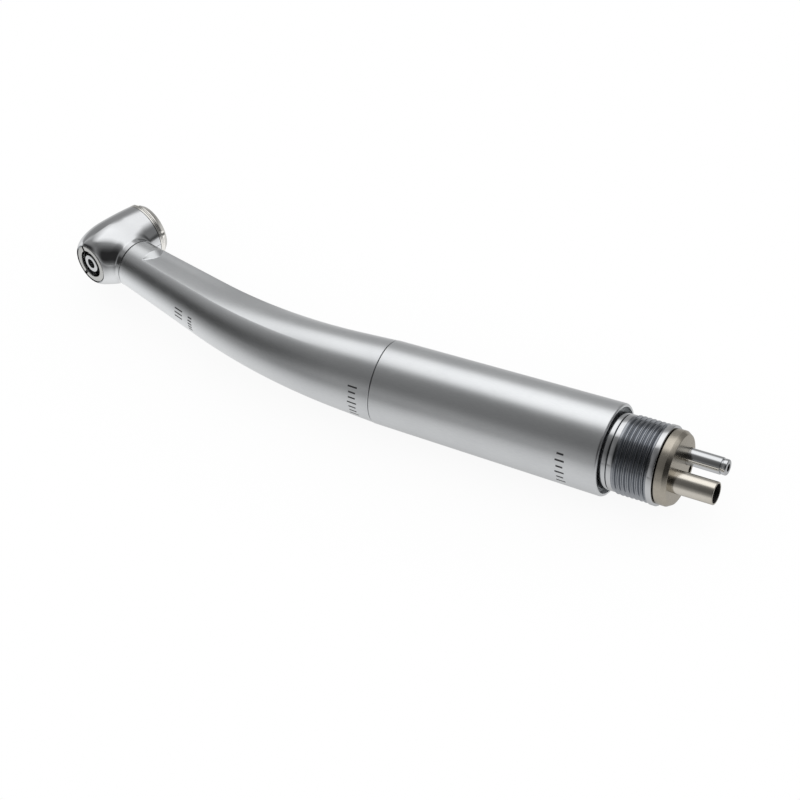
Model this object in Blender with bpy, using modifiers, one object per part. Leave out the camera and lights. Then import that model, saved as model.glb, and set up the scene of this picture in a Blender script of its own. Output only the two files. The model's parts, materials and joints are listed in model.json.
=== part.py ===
"""High speed dental handpiece: push-button turbine head, bent neck, handle and two-tube threaded back end.

Metres, +Z up. The origin is the centre of the hose end face, with +X pointing out towards the hose.
The handpiece lies on its side: the handle's axis is the X axis, and the neck and the head's axis lie in
the XY plane, with the bur side towards -Y. Lengths below are written in millimetres and scaled by MM.
"""

import math

import bmesh
import bpy
from mathutils import Matrix, Vector

MM = 0.001
TAU = 2.0 * math.pi

# Handle and back end, as stations along X.
HANDLE_FRONT_X = -51.4
HANDLE_REAR_X = -11.2
HANDLE_FRONT_R = 6.95
HANDLE_REAR_R = 7.65
HANDLE_BORE_R = 6.75
HANDLE_SOCKET_R = 6.2
HANDLE_SOCKET_DEPTH = 6.5
RIM_ROUND = 0.6
LOCK_RING_X = (-12.0, -10.25)
LOCK_RING_R = 6.3
CONNECTOR_X = (-10.1, -3.4)
CONNECTOR_R = 6.25
CONNECTOR_NECK_R = 5.8
CONNECTOR_BORE_R = 5.3
CONNECTOR_FRONT_GAP = 0.2
THREAD_X = (-9.1, -3.5)
THREAD_PITCH = 0.8
THREAD_CREST_R = 6.5
THREAD_ROOT_R = 6.1
POLISHED_RING_X = (-3.3, -2.25)
POLISHED_RING_R = 6.6
END_PLATE_X = (-2.1, 0.0)
END_PLATE_R = 6.2
END_PLATE_CHAMFER = 0.45
END_PLATE_SPIGOT = 2.9

# Nipples and tube seats. A seat is the (y, z) of a line that runs along X.
DRIVE_SEAT = (-1.9, -0.8)
DRIVE_NIPPLE_R = 1.9
DRIVE_NIPPLE_BORE_R = 1.6
DRIVE_NIPPLE_REAR_X = 6.9
WATER_SEAT = (3.4, 0.05)
WATER_NIPPLE_R = 1.42
WATER_NECK_R = 1.16
WATER_TIP_R = 1.32
WATER_NIPPLE_BORE_R = 0.6
WATER_NIPPLE_REAR_X = 6.65
WATER_TIP_LENGTH = 0.8
WATER_NECK_LENGTH = 0.2
NIPPLE_CHAMFER = 0.12
NIPPLE_CLEARANCE = 0.06
CHIP_SEAT = (0.4, 3.4)
EXHAUST_PORTS = ((1.6, -3.9), (3.6, -2.9))
EXHAUST_PORT_R = 0.62

# Neck: a straight run, an arc and a straight run to the head's axis.
NECK_START_X = -51.5
NECK_STRAIGHT = 6.1
NECK_ARC_R = 95.7
NECK_ARC = math.radians(17.2)
NECK_TO_HEAD_AXIS = 58.55
HEAD_SEAM = 5.4
NECK_WALL = 0.8
NECK_REAR_R = 6.9
NECK_MID_R = 5.38
NECK_FRONT_R = 4.07
NECK_STATIONS = 16
FACET_FROM = 8.0
FACET_FULL = 42.0
FACET_END = 50.4
FACET_SLOPE = 0.5
FACET_SHARE = 0.18
FACET_EDGES = (44.0, 74.0, 114.0)
FACET_SPARE_WALL = 0.35
NECK_ANGLES = (0, 15, 30, 44, 59, 74, 88, 101, 114, 130, 146, 163)
SPIGOT_R = 6.1
SPIGOT_BORE_R = 5.0
SPIGOT_LENGTH = 6.0
SPIGOT_GROOVE = (-3.2, -2.4)
SPIGOT_GROOVE_DEPTH = 0.45
NECK_SEAL_X = NECK_START_X - sum(SPIGOT_GROOVE) / 2

# The three internal tubes: (towards the button, sideways) offsets from the neck's axis, and outer radii.
NECK_DRIVE = (0.3, -1.75)
NECK_WATER = (-1.5, 1.2)
NECK_CHIP = (1.6, 1.1)
DRIVE_TUBE_R = 1.05
SMALL_TUBE_R = 0.45
TUBE_FRONT = 52.3
SPACER_X = (-47.2, -46.0)
SPACER_HOLE_REACH = (-49.0, -44.0)

# Core block in the handle, where the tubes meet the nipples.
CORE_X = (-26.0, -17.0)
CORE_R = 6.6
CORE_SEAL_X = (-24.5, -18.5)
TUBE_REAR_X = -23.8
TUBE_SOCKET_REAR_X = -23.4
CHIP_BORE_REAR_X = -20.5
CROSS_BORE_X = -20.8
NIPPLE_FRONT_X = -19.0
FILTER_X = (-21.6, -19.4)
VALVE_SEAT_X = (-20.0, -19.4)
VALVE_BALL_X = -20.55
VALVE_BALL_R = 0.55
VALVE_CHAMBER_R = 0.95
VALVE_SPRING_X = (-22.5, -21.25)

# Head, along its own axis: z = 0 where the neck's axis meets it, +z towards the push button.
HEAD_LEAN = math.radians(-3.8)
NOSE_Z = -5.2
CAP_SEAM_Z = 6.2
CAP_TOP_Z = 8.0
HEAD_MAX_R = 5.2
HEAD_CAP_R = 4.95
CAP_R = 4.9
CAP_RIM_R = 4.23
NOSE_R = 3.4
NOSE_GAP_R = 3.52
NOSE_GAP_Z = -4.9
NOSE_NOTCHES = (57.0, 178.0, 299.0)
CAP_NOTCH = 68.0
CAP_NOTCH_R = 0.75
HEAD_BELT_Z = 0.3
DOME_ARC = math.radians(78.0)
STUB_FLARE = 0.3
CHAMBER_R = 4.3
SEAL_GROOVE_R = 3.85
SPIGOT_FRONT_R = 3.05
CHAMBER_FLOOR_Z = -1.45
BEARING_R = 3.175
BEARING_BORE_R = 1.5875
BEARING_WIDTH = 2.38
FRONT_BEARING_Z = -2.75
REAR_BEARING_Z = 3.2
BALL_R = 0.5
BALL_PITCH_R = 0.5 * (BEARING_R + BEARING_BORE_R)
BALLS = 7
IMPELLER_R = 3.85
IMPELLER_HUB_R = 2.6
IMPELLER_Z = (-1.05, 1.55)
BLADES = 8
BUR_BORE_R = 0.8
BUTTON_R = 3.0
BUTTON_TOP_Z = 8.45
BUTTON_RISE = 0.35
SPINDLE_TOP_Z = 4.7
COLLET_TOP_Z = 2.2
PLUNGER_TOP_Z = 5.95

# Facets round each kind of turned piece.
STEPS = 24
CASING_STEPS = 28
SMALL_STEPS = 16
BEARING_STEPS = 24


def new_collection(name):
    collection = bpy.data.collections.new(name)
    bpy.context.scene.collection.children.link(collection)
    return collection


for old in list(bpy.data.objects):
    bpy.data.objects.remove(old, do_unlink=True)
PARTS = new_collection("high_speed_handpiece")
CUTTERS = new_collection("cutters")


# Materials

def material(name, colour, roughness, metallic=1.0):
    made = bpy.data.materials.new(name)
    made.use_nodes = True
    shader = made.node_tree.nodes["Principled BSDF"]
    shader.inputs["Base Color"].default_value = (*colour, 1.0)
    shader.inputs["Roughness"].default_value = roughness
    shader.inputs["Metallic"].default_value = metallic
    made.diffuse_color = (*colour, 1.0)
    return made


SATIN_STEEL = material("satin_steel", (0.62, 0.64, 0.65), 0.32)
MIRROR_CHROME = material("mirror_chrome", (0.78, 0.79, 0.80), 0.08)
BLACK_CHROME = material("black_chrome", (0.20, 0.21, 0.23), 0.22)
NICKEL = material("nickel", (0.66, 0.61, 0.54), 0.25)
BEARING_STEEL = material("bearing_steel", (0.60, 0.61, 0.62), 0.15)
SPRING_STEEL = material("spring_steel", (0.45, 0.46, 0.48), 0.3)
BRASS = material("brass", (0.72, 0.55, 0.28), 0.3)
ALUMINIUM = material("aluminium", (0.75, 0.76, 0.77), 0.35)
CAGE_RESIN = material("cage_resin", (0.02, 0.018, 0.016), 0.5, 0.0)
RUBBER = material("black_rubber", (0.02, 0.02, 0.02), 0.7, 0.0)
SINTERED = material("sintered_bronze", (0.50, 0.38, 0.22), 0.8)


# Frames: turned pieces are drawn with their axis along local Z.

def empty(name, matrix):
    made = bpy.data.objects.new(name, None)
    made.empty_display_size = 2 * MM
    PARTS.objects.link(made)
    made.matrix_world = matrix
    return made


def frame_matrix(origin, x_axis, z_axis):
    """A frame at origin (mm) with local Z along z_axis and local X as near x_axis as it can be."""
    z = Vector(z_axis).normalized()
    y = z.cross(Vector(x_axis)).normalized()
    x = y.cross(z)
    rotation = Matrix((x, y, z)).transposed().to_4x4()
    return Matrix.Translation(Vector(origin) * MM) @ rotation


def neck_point(distance):
    """Centre, forward direction and in-plane normal of the neck's axis at this distance from its rear seam."""
    if distance <= NECK_STRAIGHT:
        centre = Vector((NECK_START_X - distance, 0.0, 0.0))
        turn = 0.0
    else:
        turn = min((distance - NECK_STRAIGHT) / NECK_ARC_R, NECK_ARC)
        centre = Vector((NECK_START_X - NECK_STRAIGHT - NECK_ARC_R * math.sin(turn),
                         NECK_ARC_R * (1.0 - math.cos(turn)), 0.0))
    forward = Vector((-math.cos(turn), math.sin(turn), 0.0))
    rest = max(distance - NECK_STRAIGHT - turn * NECK_ARC_R, 0.0)
    if turn:
        centre += forward * rest
    return centre, forward, Vector((forward.y, -forward.x, 0.0))


HEAD_CENTRE, NECK_FORWARD, NECK_UP = neck_point(NECK_TO_HEAD_AXIS)
HEAD_UP = Matrix.Rotation(HEAD_LEAN, 3, "Z") @ NECK_UP
HEAD_FORWARD = Matrix.Rotation(HEAD_LEAN, 3, "Z") @ NECK_FORWARD

AXIS_FRAME = empty("handle_axis", frame_matrix((0, 0, 0), (0, 0, 1), (1, 0, 0)))
HEAD_FRAME = empty("head_axis", frame_matrix(HEAD_CENTRE, HEAD_FORWARD, HEAD_UP))


# Building blocks

def add_object(name, mesh, paint, parent=None, collection=PARTS):
    made = bpy.data.objects.new(name, mesh)
    collection.objects.link(made)
    if parent:
        made.parent = parent
    if paint:
        mesh.materials.append(paint)
    if collection is CUTTERS:
        made.hide_render = True
        made.display_type = "WIRE"
    return made


def smooth(mesh, angle=35.0):
    mesh.shade_smooth()
    mesh.set_sharp_from_angle(angle=math.radians(angle))


def turned(name, profile, paint, parent, steps=STEPS, ring=False, collection=PARTS):
    """A Screw of profile, points (radius, z) in mm that run down the outer side.

    A ring's profile goes on up its inner side and closes; any other starts and ends on the axis.
    """
    mesh = bpy.data.meshes.new(name)
    points = [(r * MM, 0.0, z * MM) for r, z in profile]
    edges = [(i, i + 1) for i in range(len(points) - 1)]
    if ring:
        edges.append((len(points) - 1, 0))
    mesh.from_pydata(points, edges, [])
    made = add_object(name, mesh, paint, parent, collection)
    screw = made.modifiers.new("turn", "SCREW")
    screw.axis = "Z"
    screw.angle = TAU
    screw.screw_offset = 0.0
    screw.steps = steps
    screw.render_steps = steps
    screw.use_merge_vertices = True
    screw.merge_threshold = 1e-6
    screw.use_smooth_shade = True
    return made


def washer(name, inner, outer, z_low, z_high, paint, parent, steps=STEPS):
    profile = [(outer, z_high), (outer, z_low), (inner, z_low), (inner, z_high)]
    return turned(name, profile, paint, parent, steps, ring=True)


def o_ring(name, ring_r, cord_r, z, paint, parent, steps=STEPS, sides=6):
    """A torus of round section: a circle, run downwards on its outer side, turned about the axis."""
    profile = [(ring_r + cord_r * math.cos(TAU * i / sides), z - cord_r * math.sin(TAU * i / sides))
               for i in range(sides)]
    return turned(name, profile, paint, parent, steps, ring=True)


def cylinder_cutter(name, radius, start, end, parent, steps=12):
    """A closed cylinder between two points (mm) in its parent's frame, kept as a cutter."""
    start = Vector(start) * MM
    end = Vector(end) * MM
    mesh = bpy.data.meshes.new(name)
    shape = bmesh.new()
    bmesh.ops.create_cone(shape, cap_ends=True, segments=steps, radius1=radius * MM, radius2=radius * MM,
                          depth=(end - start).length)
    aim = (end - start).to_track_quat("Z", "Y").to_matrix().to_4x4()
    bmesh.ops.transform(shape, matrix=Matrix.Translation((start + end) / 2) @ aim, verts=shape.verts)
    shape.to_mesh(mesh)
    shape.free()
    return add_object(name, mesh, None, parent, CUTTERS)


def boolean(target, other, operation="DIFFERENCE"):
    cut = target.modifiers.new(other.name, "BOOLEAN")
    cut.operation = operation
    cut.solver = "EXACT"
    cut.object = other


def tube_along(name, points, radius, paint, parent=None, collection=PARTS):
    """A round tube or wire through points (mm) as a closed mesh, from a curve with a bevel and filled caps."""
    curve = bpy.data.curves.new(name, "CURVE")
    curve.dimensions = "3D"
    curve.bevel_depth = radius * MM
    curve.bevel_resolution = 2
    curve.use_fill_caps = True
    spline = curve.splines.new("POLY")
    spline.points.add(len(points) - 1)
    for point, place in zip(spline.points, points):
        point.co = (place[0] * MM, place[1] * MM, place[2] * MM, 1.0)
    guide = bpy.data.objects.new(name + "_guide", curve)
    PARTS.objects.link(guide)
    graph = bpy.context.evaluated_depsgraph_get()
    mesh = bpy.data.meshes.new_from_object(guide.evaluated_get(graph))
    shape = bmesh.new()
    shape.from_mesh(mesh)
    bmesh.ops.remove_doubles(shape, verts=shape.verts, dist=1e-7)
    bmesh.ops.recalc_face_normals(shape, faces=shape.faces)
    shape.to_mesh(mesh)
    shape.free()
    smooth(mesh)
    bpy.data.objects.remove(guide, do_unlink=True)
    mesh.materials.clear()
    mesh.name = name
    return add_object(name, mesh, paint, parent, collection)


def coil_points(radius, z_low, z_high, turns, per_turn=10):
    """Points of a spring's helix about local Z."""
    count = int(turns * per_turn) + 1
    points = []
    for i in range(count):
        share = i / (count - 1)
        around = TAU * turns * share
        points.append((radius * math.cos(around), radius * math.sin(around), z_low + (z_high - z_low) * share))
    return points


# Head: housing, nose ring, cap and button

def dome_profile():
    """Outer side of the head from the cap seam down to the nose, a barrel that closes in an elliptic dome."""
    points = [(HEAD_CAP_R, CAP_SEAM_Z), (0.5 * (HEAD_CAP_R + HEAD_MAX_R), 0.5 * (CAP_SEAM_Z + HEAD_BELT_Z)),
              (HEAD_MAX_R, HEAD_BELT_Z)]
    end_r = NOSE_R + 0.1
    drop = HEAD_BELT_Z - (NOSE_Z + 0.1)
    last = math.cos(DOME_ARC)
    arcs = 8
    for i in range(1, arcs + 1):
        turn = DOME_ARC * i / arcs
        depth = math.sin(turn) / math.sin(DOME_ARC)
        width = (math.cos(turn) - last) / (1.0 - last)
        points.append((end_r + (HEAD_MAX_R - end_r) * width, HEAD_BELT_Z - drop * depth))
    return points


def head_housing():
    """Head body with its stub and spigot, bored from the cap side down to the nose, with four ports."""
    dome = dome_profile()
    body = turned("head_housing", [(0, CAP_SEAM_Z)] + dome + [(0, dome[-1][1])], MIRROR_CHROME, HEAD_FRAME,
                  CASING_STEPS)
    stub_frame = empty("stub_axis", frame_matrix(HEAD_CENTRE, NECK_UP, -NECK_FORWARD))
    stub_r = NECK_FRONT_R + 0.05
    flare_r = stub_r + STUB_FLARE
    stub = turned("stub_union", [(0, 9.0), (SPIGOT_FRONT_R, 9.0), (SPIGOT_FRONT_R, HEAD_SEAM), (stub_r, HEAD_SEAM),
                                 (stub_r, 4.6), (flare_r, 3.6), (flare_r, 1.0), (0, 1.0)],
                  None, stub_frame, CASING_STEPS, collection=CUTTERS)
    boolean(body, stub, "UNION")
    seat_r = BEARING_R + 0.12
    bores = turned("head_bores_cut", [
        (0, CAP_SEAM_Z + 0.2), (CHAMBER_R, CAP_SEAM_Z + 0.2), (CHAMBER_R, CHAMBER_FLOOR_Z),
        (seat_r, CHAMBER_FLOOR_Z), (seat_r, FRONT_BEARING_Z + 0.4), (SEAL_GROOVE_R, FRONT_BEARING_Z + 0.4),
        (SEAL_GROOVE_R, FRONT_BEARING_Z - 0.4), (seat_r, FRONT_BEARING_Z - 0.4), (seat_r, NOSE_Z + 1.1),
        (2.6, NOSE_Z + 1.1), (2.6, NOSE_Z + 0.85), (NOSE_R, NOSE_Z + 0.85), (NOSE_R, NOSE_GAP_Z),
        (NOSE_GAP_R, NOSE_GAP_Z), (NOSE_GAP_R, NOSE_Z - 0.2), (0, NOSE_Z - 0.2)],
        None, HEAD_FRAME, CASING_STEPS, collection=CUTTERS)
    boolean(body, bores)
    for name, (up, side), radius, depth in (
        ("drive_port_cut", NECK_DRIVE, DRIVE_TUBE_R + 0.12, 2.0),
        ("exhaust_port_cut", (0.1, 1.7), 0.65, 2.0),
        ("water_port_cut", NECK_WATER, SMALL_TUBE_R + 0.1, 5.0),
        ("chip_port_cut", NECK_CHIP, SMALL_TUBE_R + 0.1, 5.0),
    ):
        boolean(body, cylinder_cutter(name, radius, (up, side, depth), (up, side, 9.5), stub_frame))


def nose_ring():
    """Spray ring: a water gallery round its outside, and three spray notches across its face."""
    outer = NOSE_R - 0.08
    inner = 2.4
    top = NOSE_Z + 0.75
    groove = 0.3
    ring = turned("nose_ring", [(outer, top), (outer, top - 0.15), (outer - groove, top - 0.15),
                                (outer - groove, top - 0.4), (outer, top - 0.4), (outer, NOSE_Z + 0.06),
                                (outer - 0.06, NOSE_Z), (inner, NOSE_Z), (inner, top)],
                  NICKEL, HEAD_FRAME, ring=True)
    for i, degrees in enumerate(NOSE_NOTCHES):
        around = math.radians(degrees)
        start, end = ((reach * math.cos(around), reach * math.sin(around), NOSE_Z)
                      for reach in (inner - 0.1, outer + 0.08))
        boolean(ring, cylinder_cutter(f"spray_notch_{i + 1}_cut", 0.17, start, end, HEAD_FRAME, steps=8))


def head_cap():
    """Screwed cap: its skirt holds the rear bearing and its bore guides the push button."""
    skirt_r = CHAMBER_R - 0.1
    seat_r = BEARING_R + 0.12
    button_r = BUTTON_R + 0.1
    flange_r = BUTTON_R + 0.45
    cap = turned("head_cap", [
        (button_r, CAP_TOP_Z), (CAP_RIM_R - 0.08, CAP_TOP_Z), (CAP_RIM_R, CAP_TOP_Z - 0.08), (CAP_R, 7.05),
        (CAP_R, 6.86), (CAP_R - 0.05, 6.8), (CAP_R, 6.74), (CAP_R, 6.62), (CAP_R - 0.05, 6.56), (CAP_R, 6.5),
        (CAP_R, CAP_SEAM_Z + 0.06), (skirt_r, CAP_SEAM_Z + 0.06), (skirt_r, 1.95), (seat_r, 1.95),
        (seat_r, REAR_BEARING_Z - 0.4), (SEAL_GROOVE_R, REAR_BEARING_Z - 0.4),
        (SEAL_GROOVE_R, REAR_BEARING_Z + 0.4), (seat_r, REAR_BEARING_Z + 0.4), (seat_r, 4.95), (2.2, 4.95),
        (2.2, 5.2), (flange_r, 5.2), (flange_r, 7.05), (button_r, 7.05),
    ], NICKEL, HEAD_FRAME, ring=True)
    notch_axis_r = CAP_R + 0.3
    for i in range(4):
        around = math.radians(CAP_NOTCH) + TAU * i / 4
        place = (notch_axis_r * math.cos(around), notch_axis_r * math.sin(around))
        boolean(cap, cylinder_cutter(f"wrench_notch_{i + 1}_cut", CAP_NOTCH_R, (*place, 6.9),
                                     (*place, CAP_TOP_Z + 1.0), HEAD_FRAME, steps=16))


def push_button():
    """Domed button with a flange that the cap holds in, and a stem that presses the chuck's plunger."""
    dome = [(BUTTON_R * math.sin(turn), BUTTON_TOP_Z - BUTTON_RISE * (1 - math.cos(turn)))
            for turn in (0.0, 0.35, 0.7, 1.05, 1.4)]
    turned("push_button", dome + [
        (BUTTON_R, BUTTON_TOP_Z - BUTTON_RISE - 0.05), (BUTTON_R, 6.95), (BUTTON_R + 0.3, 6.95),
        (BUTTON_R + 0.3, 6.5), (BUTTON_R - 0.05, 6.5), (BUTTON_R - 0.05, 6.9), (1.2, 6.9), (0.9, 6.15), (0, 6.15)],
        MIRROR_CHROME, HEAD_FRAME)


# Turbine cartridge

def bearing(prefix, z):
    """An open bearing: outer ring, inner ring, and the balls held by their resin cage as one body."""
    half = BEARING_WIDTH / 2
    groove = BALL_R + 0.06
    wall = 0.43
    outer_in = BEARING_R - wall
    inner_out = BEARING_BORE_R + wall
    turned(f"{prefix}_bearing_outer_ring", [
        (BEARING_R, z + half), (BEARING_R, z - half), (outer_in, z - half), (outer_in, z - 0.38),
        (BALL_PITCH_R + groove, z - 0.2), (BALL_PITCH_R + groove, z + 0.2), (outer_in, z + 0.38),
        (outer_in, z + half)], BEARING_STEEL, HEAD_FRAME, BEARING_STEPS, ring=True)
    turned(f"{prefix}_bearing_inner_ring", [
        (inner_out, z + half), (inner_out, z + 0.38), (BALL_PITCH_R - groove, z + 0.2),
        (BALL_PITCH_R - groove, z - 0.2), (inner_out, z - 0.38), (inner_out, z - half),
        (BEARING_BORE_R, z - half), (BEARING_BORE_R, z + half)], BEARING_STEEL, HEAD_FRAME, BEARING_STEPS,
        ring=True)
    cage = washer(f"{prefix}_ball_cage", BALL_PITCH_R - 0.2, BALL_PITCH_R + 0.2, z - 0.75, z + 0.75, CAGE_RESIN,
                  HEAD_FRAME, steps=3 * BALLS)
    for i in range(BALLS):
        mesh = bpy.data.meshes.new("ball")
        shape = bmesh.new()
        bmesh.ops.create_uvsphere(shape, u_segments=8, v_segments=5, radius=BALL_R * MM)
        around = TAU * i / BALLS
        move = Vector((BALL_PITCH_R * math.cos(around), BALL_PITCH_R * math.sin(around), z)) * MM
        bmesh.ops.translate(shape, vec=move, verts=shape.verts)
        shape.to_mesh(mesh)
        shape.free()
        boolean(cage, add_object(f"{prefix}_ball_{i + 1}_union", mesh, None, HEAD_FRAME, CUTTERS), "UNION")


def spindle():
    """Hollow shaft: the bearings' inner rings and the impeller sit on it, and the chuck is inside."""
    seat_r = BEARING_BORE_R - 0.03
    turned("spindle", [
        (seat_r, SPINDLE_TOP_Z), (seat_r, NOSE_Z + 0.25), (seat_r - 0.08, NOSE_Z + 0.15),
        (BUR_BORE_R + 0.05, NOSE_Z + 0.15), (BUR_BORE_R + 0.05, NOSE_Z + 1.0), (1.12, NOSE_Z + 1.0),
        (1.12, COLLET_TOP_Z + 0.3), (1.3, COLLET_TOP_Z + 0.3), (1.3, SPINDLE_TOP_Z),
    ], BEARING_STEEL, HEAD_FRAME, BEARING_STEPS, ring=True)


def impeller():
    """Turbine wheel: a hub with a boss against each inner ring, and blades swept at their tips."""
    low, high = IMPELLER_Z
    boss_r = 1.95
    wheel = turned("impeller", [
        (boss_r, REAR_BEARING_Z - BEARING_WIDTH / 2 - 0.1), (boss_r, high), (IMPELLER_HUB_R, high),
        (IMPELLER_HUB_R, low), (boss_r, low), (boss_r, FRONT_BEARING_Z + BEARING_WIDTH / 2 + 0.1),
        (BEARING_BORE_R, FRONT_BEARING_Z + BEARING_WIDTH / 2 + 0.1),
        (BEARING_BORE_R, REAR_BEARING_Z - BEARING_WIDTH / 2 - 0.1),
    ], ALUMINIUM, HEAD_FRAME, BEARING_STEPS, ring=True)
    length = IMPELLER_R - IMPELLER_HUB_R + 0.5
    thickness = 0.45
    for i in range(BLADES):
        mesh = bpy.data.meshes.new("blade")
        shape = bmesh.new()
        bmesh.ops.create_cube(shape, size=1.0)
        bmesh.ops.scale(shape, vec=Vector((length, thickness, high - low - 0.3)) * MM, verts=shape.verts)
        tips = [corner for corner in shape.verts if corner.co.x > 0]
        bmesh.ops.translate(shape, vec=(0.0, thickness * MM, 0.0), verts=tips)
        around = Matrix.Rotation(TAU * i / BLADES, 4, "Z")
        out = Matrix.Translation(Vector((IMPELLER_R - length / 2, 0.0, (low + high) / 2)) * MM)
        bmesh.ops.transform(shape, matrix=around @ out, verts=shape.verts)
        shape.to_mesh(mesh)
        shape.free()
        boolean(wheel, add_object(f"blade_{i + 1}_union", mesh, None, HEAD_FRAME, CUTTERS), "UNION")


def chuck():
    """Friction-grip chuck: a slit collet that holds the bur, and the plunger and spring that free it."""
    collet = turned("chuck_collet", [
        (1.04, COLLET_TOP_Z), (1.04, NOSE_Z + 1.1), (BUR_BORE_R, NOSE_Z + 1.1), (BUR_BORE_R, COLLET_TOP_Z),
    ], BEARING_STEEL, HEAD_FRAME, steps=SMALL_STEPS, ring=True)
    slit = bpy.data.meshes.new("collet_slit")
    shape = bmesh.new()
    bmesh.ops.create_cube(shape, size=1.0)
    bmesh.ops.scale(shape, vec=Vector((3.0, 0.2, 4.0)) * MM, verts=shape.verts)
    bmesh.ops.translate(shape, vec=Vector((0.0, 0.0, COLLET_TOP_Z - 1.5)) * MM, verts=shape.verts)
    shape.to_mesh(slit)
    shape.free()
    boolean(collet, add_object("collet_slit_cut", slit, None, HEAD_FRAME, CUTTERS))
    turned("chuck_plunger", [
        (0, PLUNGER_TOP_Z), (0.75, PLUNGER_TOP_Z), (0.75, 4.4), (1.2, 4.4), (1.2, 4.0), (0.75, 4.0),
        (0.75, COLLET_TOP_Z + 0.9), (0.5, COLLET_TOP_Z + 0.55), (0, COLLET_TOP_Z + 0.55),
    ], BEARING_STEEL, HEAD_FRAME, steps=SMALL_STEPS)
    tube_along("chuck_spring", coil_points(1.04, COLLET_TOP_Z + 0.42, 3.88, 3), 0.08, SPRING_STEEL, HEAD_FRAME)


# Neck, handle and seals

def neck_radius(distance):
    """Outer radius: a quadratic in the distance from the rear seam, through the rear, middle and front radii."""
    end = NECK_TO_HEAD_AXIS - HEAD_SEAM
    share = max(distance, 0.0) / end
    bend = 2 * NECK_REAR_R - 4 * NECK_MID_R + 2 * NECK_FRONT_R
    slope = -3 * NECK_REAR_R + 4 * NECK_MID_R - NECK_FRONT_R
    return NECK_REAR_R + slope * share + bend * share * share


def facet_depth(distance, degrees):
    """Depth of the shallow facet on each side of the neck's back, this many degrees from the back's centre line."""
    top, middle, crease = FACET_EDGES
    if not top < degrees < crease:
        return 0.0
    if degrees > middle:
        dip = 1 - (1 - (crease - degrees) / (crease - middle)) ** 2.2
    else:
        dip = 1 - ((middle - degrees) / (middle - top)) ** 2
    share = min(max((distance - FACET_FROM) / (FACET_FULL - FACET_FROM), 0.0), 1.0)
    grown = share * share * (3 - 2 * share)
    return min(neck_radius(distance) * grown * FACET_SHARE * dip, max(FACET_END - distance, 0.0) * FACET_SLOPE)


def neck_section(distance, radius, faceted=False):
    centre, _, up = neck_point(distance)
    if distance < 0:
        centre = Vector((NECK_START_X - distance, 0.0, 0.0))
    points = []
    for degrees in NECK_ANGLES + (180,) + tuple(360 - angle for angle in reversed(NECK_ANGLES[1:])):
        around = math.radians(degrees)
        reach = radius - (facet_depth(distance, min(degrees, 360 - degrees)) if faceted else 0.0)
        points.append(centre + up * (reach * math.cos(around)) + Vector((0, 0, reach * math.sin(around))))
    return points


def neck_bore(distance):
    """Inner radius: a set wall, a little thicker where the facets cut into it."""
    deepest = facet_depth(distance, FACET_EDGES[1])
    wall = NECK_WALL + max(deepest - FACET_SPARE_WALL, 0.0)
    return min(neck_radius(distance) - wall, SPIGOT_BORE_R)


def loft(name, sections, paint):
    """A closed shell through sections of equal count, whose last joins its first."""
    mesh = bpy.data.meshes.new(name)
    shape = bmesh.new()
    rows = [[shape.verts.new(point * MM) for point in section] for section in sections]
    sides = len(rows[0])
    for row, after in zip(rows, rows[1:] + rows[:1]):
        for i in range(sides):
            shape.faces.new((row[i], row[(i + 1) % sides], after[(i + 1) % sides], after[i]))
    bmesh.ops.recalc_face_normals(shape, faces=shape.faces)
    shape.to_mesh(mesh)
    shape.free()
    smooth(mesh)
    return add_object(name, mesh, paint)


def neck_sleeve():
    """Bent tapered shell with a facet on each side of its back, and a grooved spigot that enters the handle."""
    front = NECK_TO_HEAD_AXIS - HEAD_SEAM - 0.1
    shoulder = 0.05
    stations = [shoulder + (front - shoulder) * i / NECK_STATIONS for i in range(NECK_STATIONS + 1)]
    run_out = [FACET_END, FACET_END - 0.8, FACET_END - 1.6]
    outside = [neck_section(q, neck_radius(q), True) for q in sorted(stations + run_out, reverse=True)]
    groove_front, groove_rear = SPIGOT_GROOVE
    groove_r = SPIGOT_R - SPIGOT_GROOVE_DEPTH
    spigot = [neck_section(q, r) for q, r in (
        (shoulder, SPIGOT_R), (groove_rear, SPIGOT_R), (groove_rear, groove_r), (groove_front, groove_r),
        (groove_front, SPIGOT_R), (-SPIGOT_LENGTH, SPIGOT_R), (-SPIGOT_LENGTH, SPIGOT_BORE_R))]
    inside = [neck_section(q, neck_bore(q)) for q in stations[::3] + [FACET_END - 1.6, FACET_END, front]]
    loft("neck_sleeve", outside + spigot + inside, SATIN_STEEL)


def handle_sleeve():
    arc = [(HANDLE_REAR_R - RIM_ROUND * (1 - math.sin(turn)), HANDLE_REAR_X - RIM_ROUND * (1 - math.cos(turn)))
           for turn in (0.0, 0.4, 0.8, 1.2, math.pi / 2)]
    lip_x = LOCK_RING_X[0] - 0.2
    lip_r = LOCK_RING_R + 0.15
    turned("handle_sleeve", arc + [
        (HANDLE_FRONT_R, HANDLE_FRONT_X), (HANDLE_SOCKET_R, HANDLE_FRONT_X),
        (HANDLE_SOCKET_R, HANDLE_FRONT_X + HANDLE_SOCKET_DEPTH),
        (HANDLE_BORE_R, HANDLE_FRONT_X + HANDLE_SOCKET_DEPTH + 0.5), (HANDLE_BORE_R, lip_x),
        (lip_r, lip_x), (lip_r, HANDLE_REAR_X)],
        SATIN_STEEL, AXIS_FRAME, steps=CASING_STEPS, ring=True)


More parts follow.
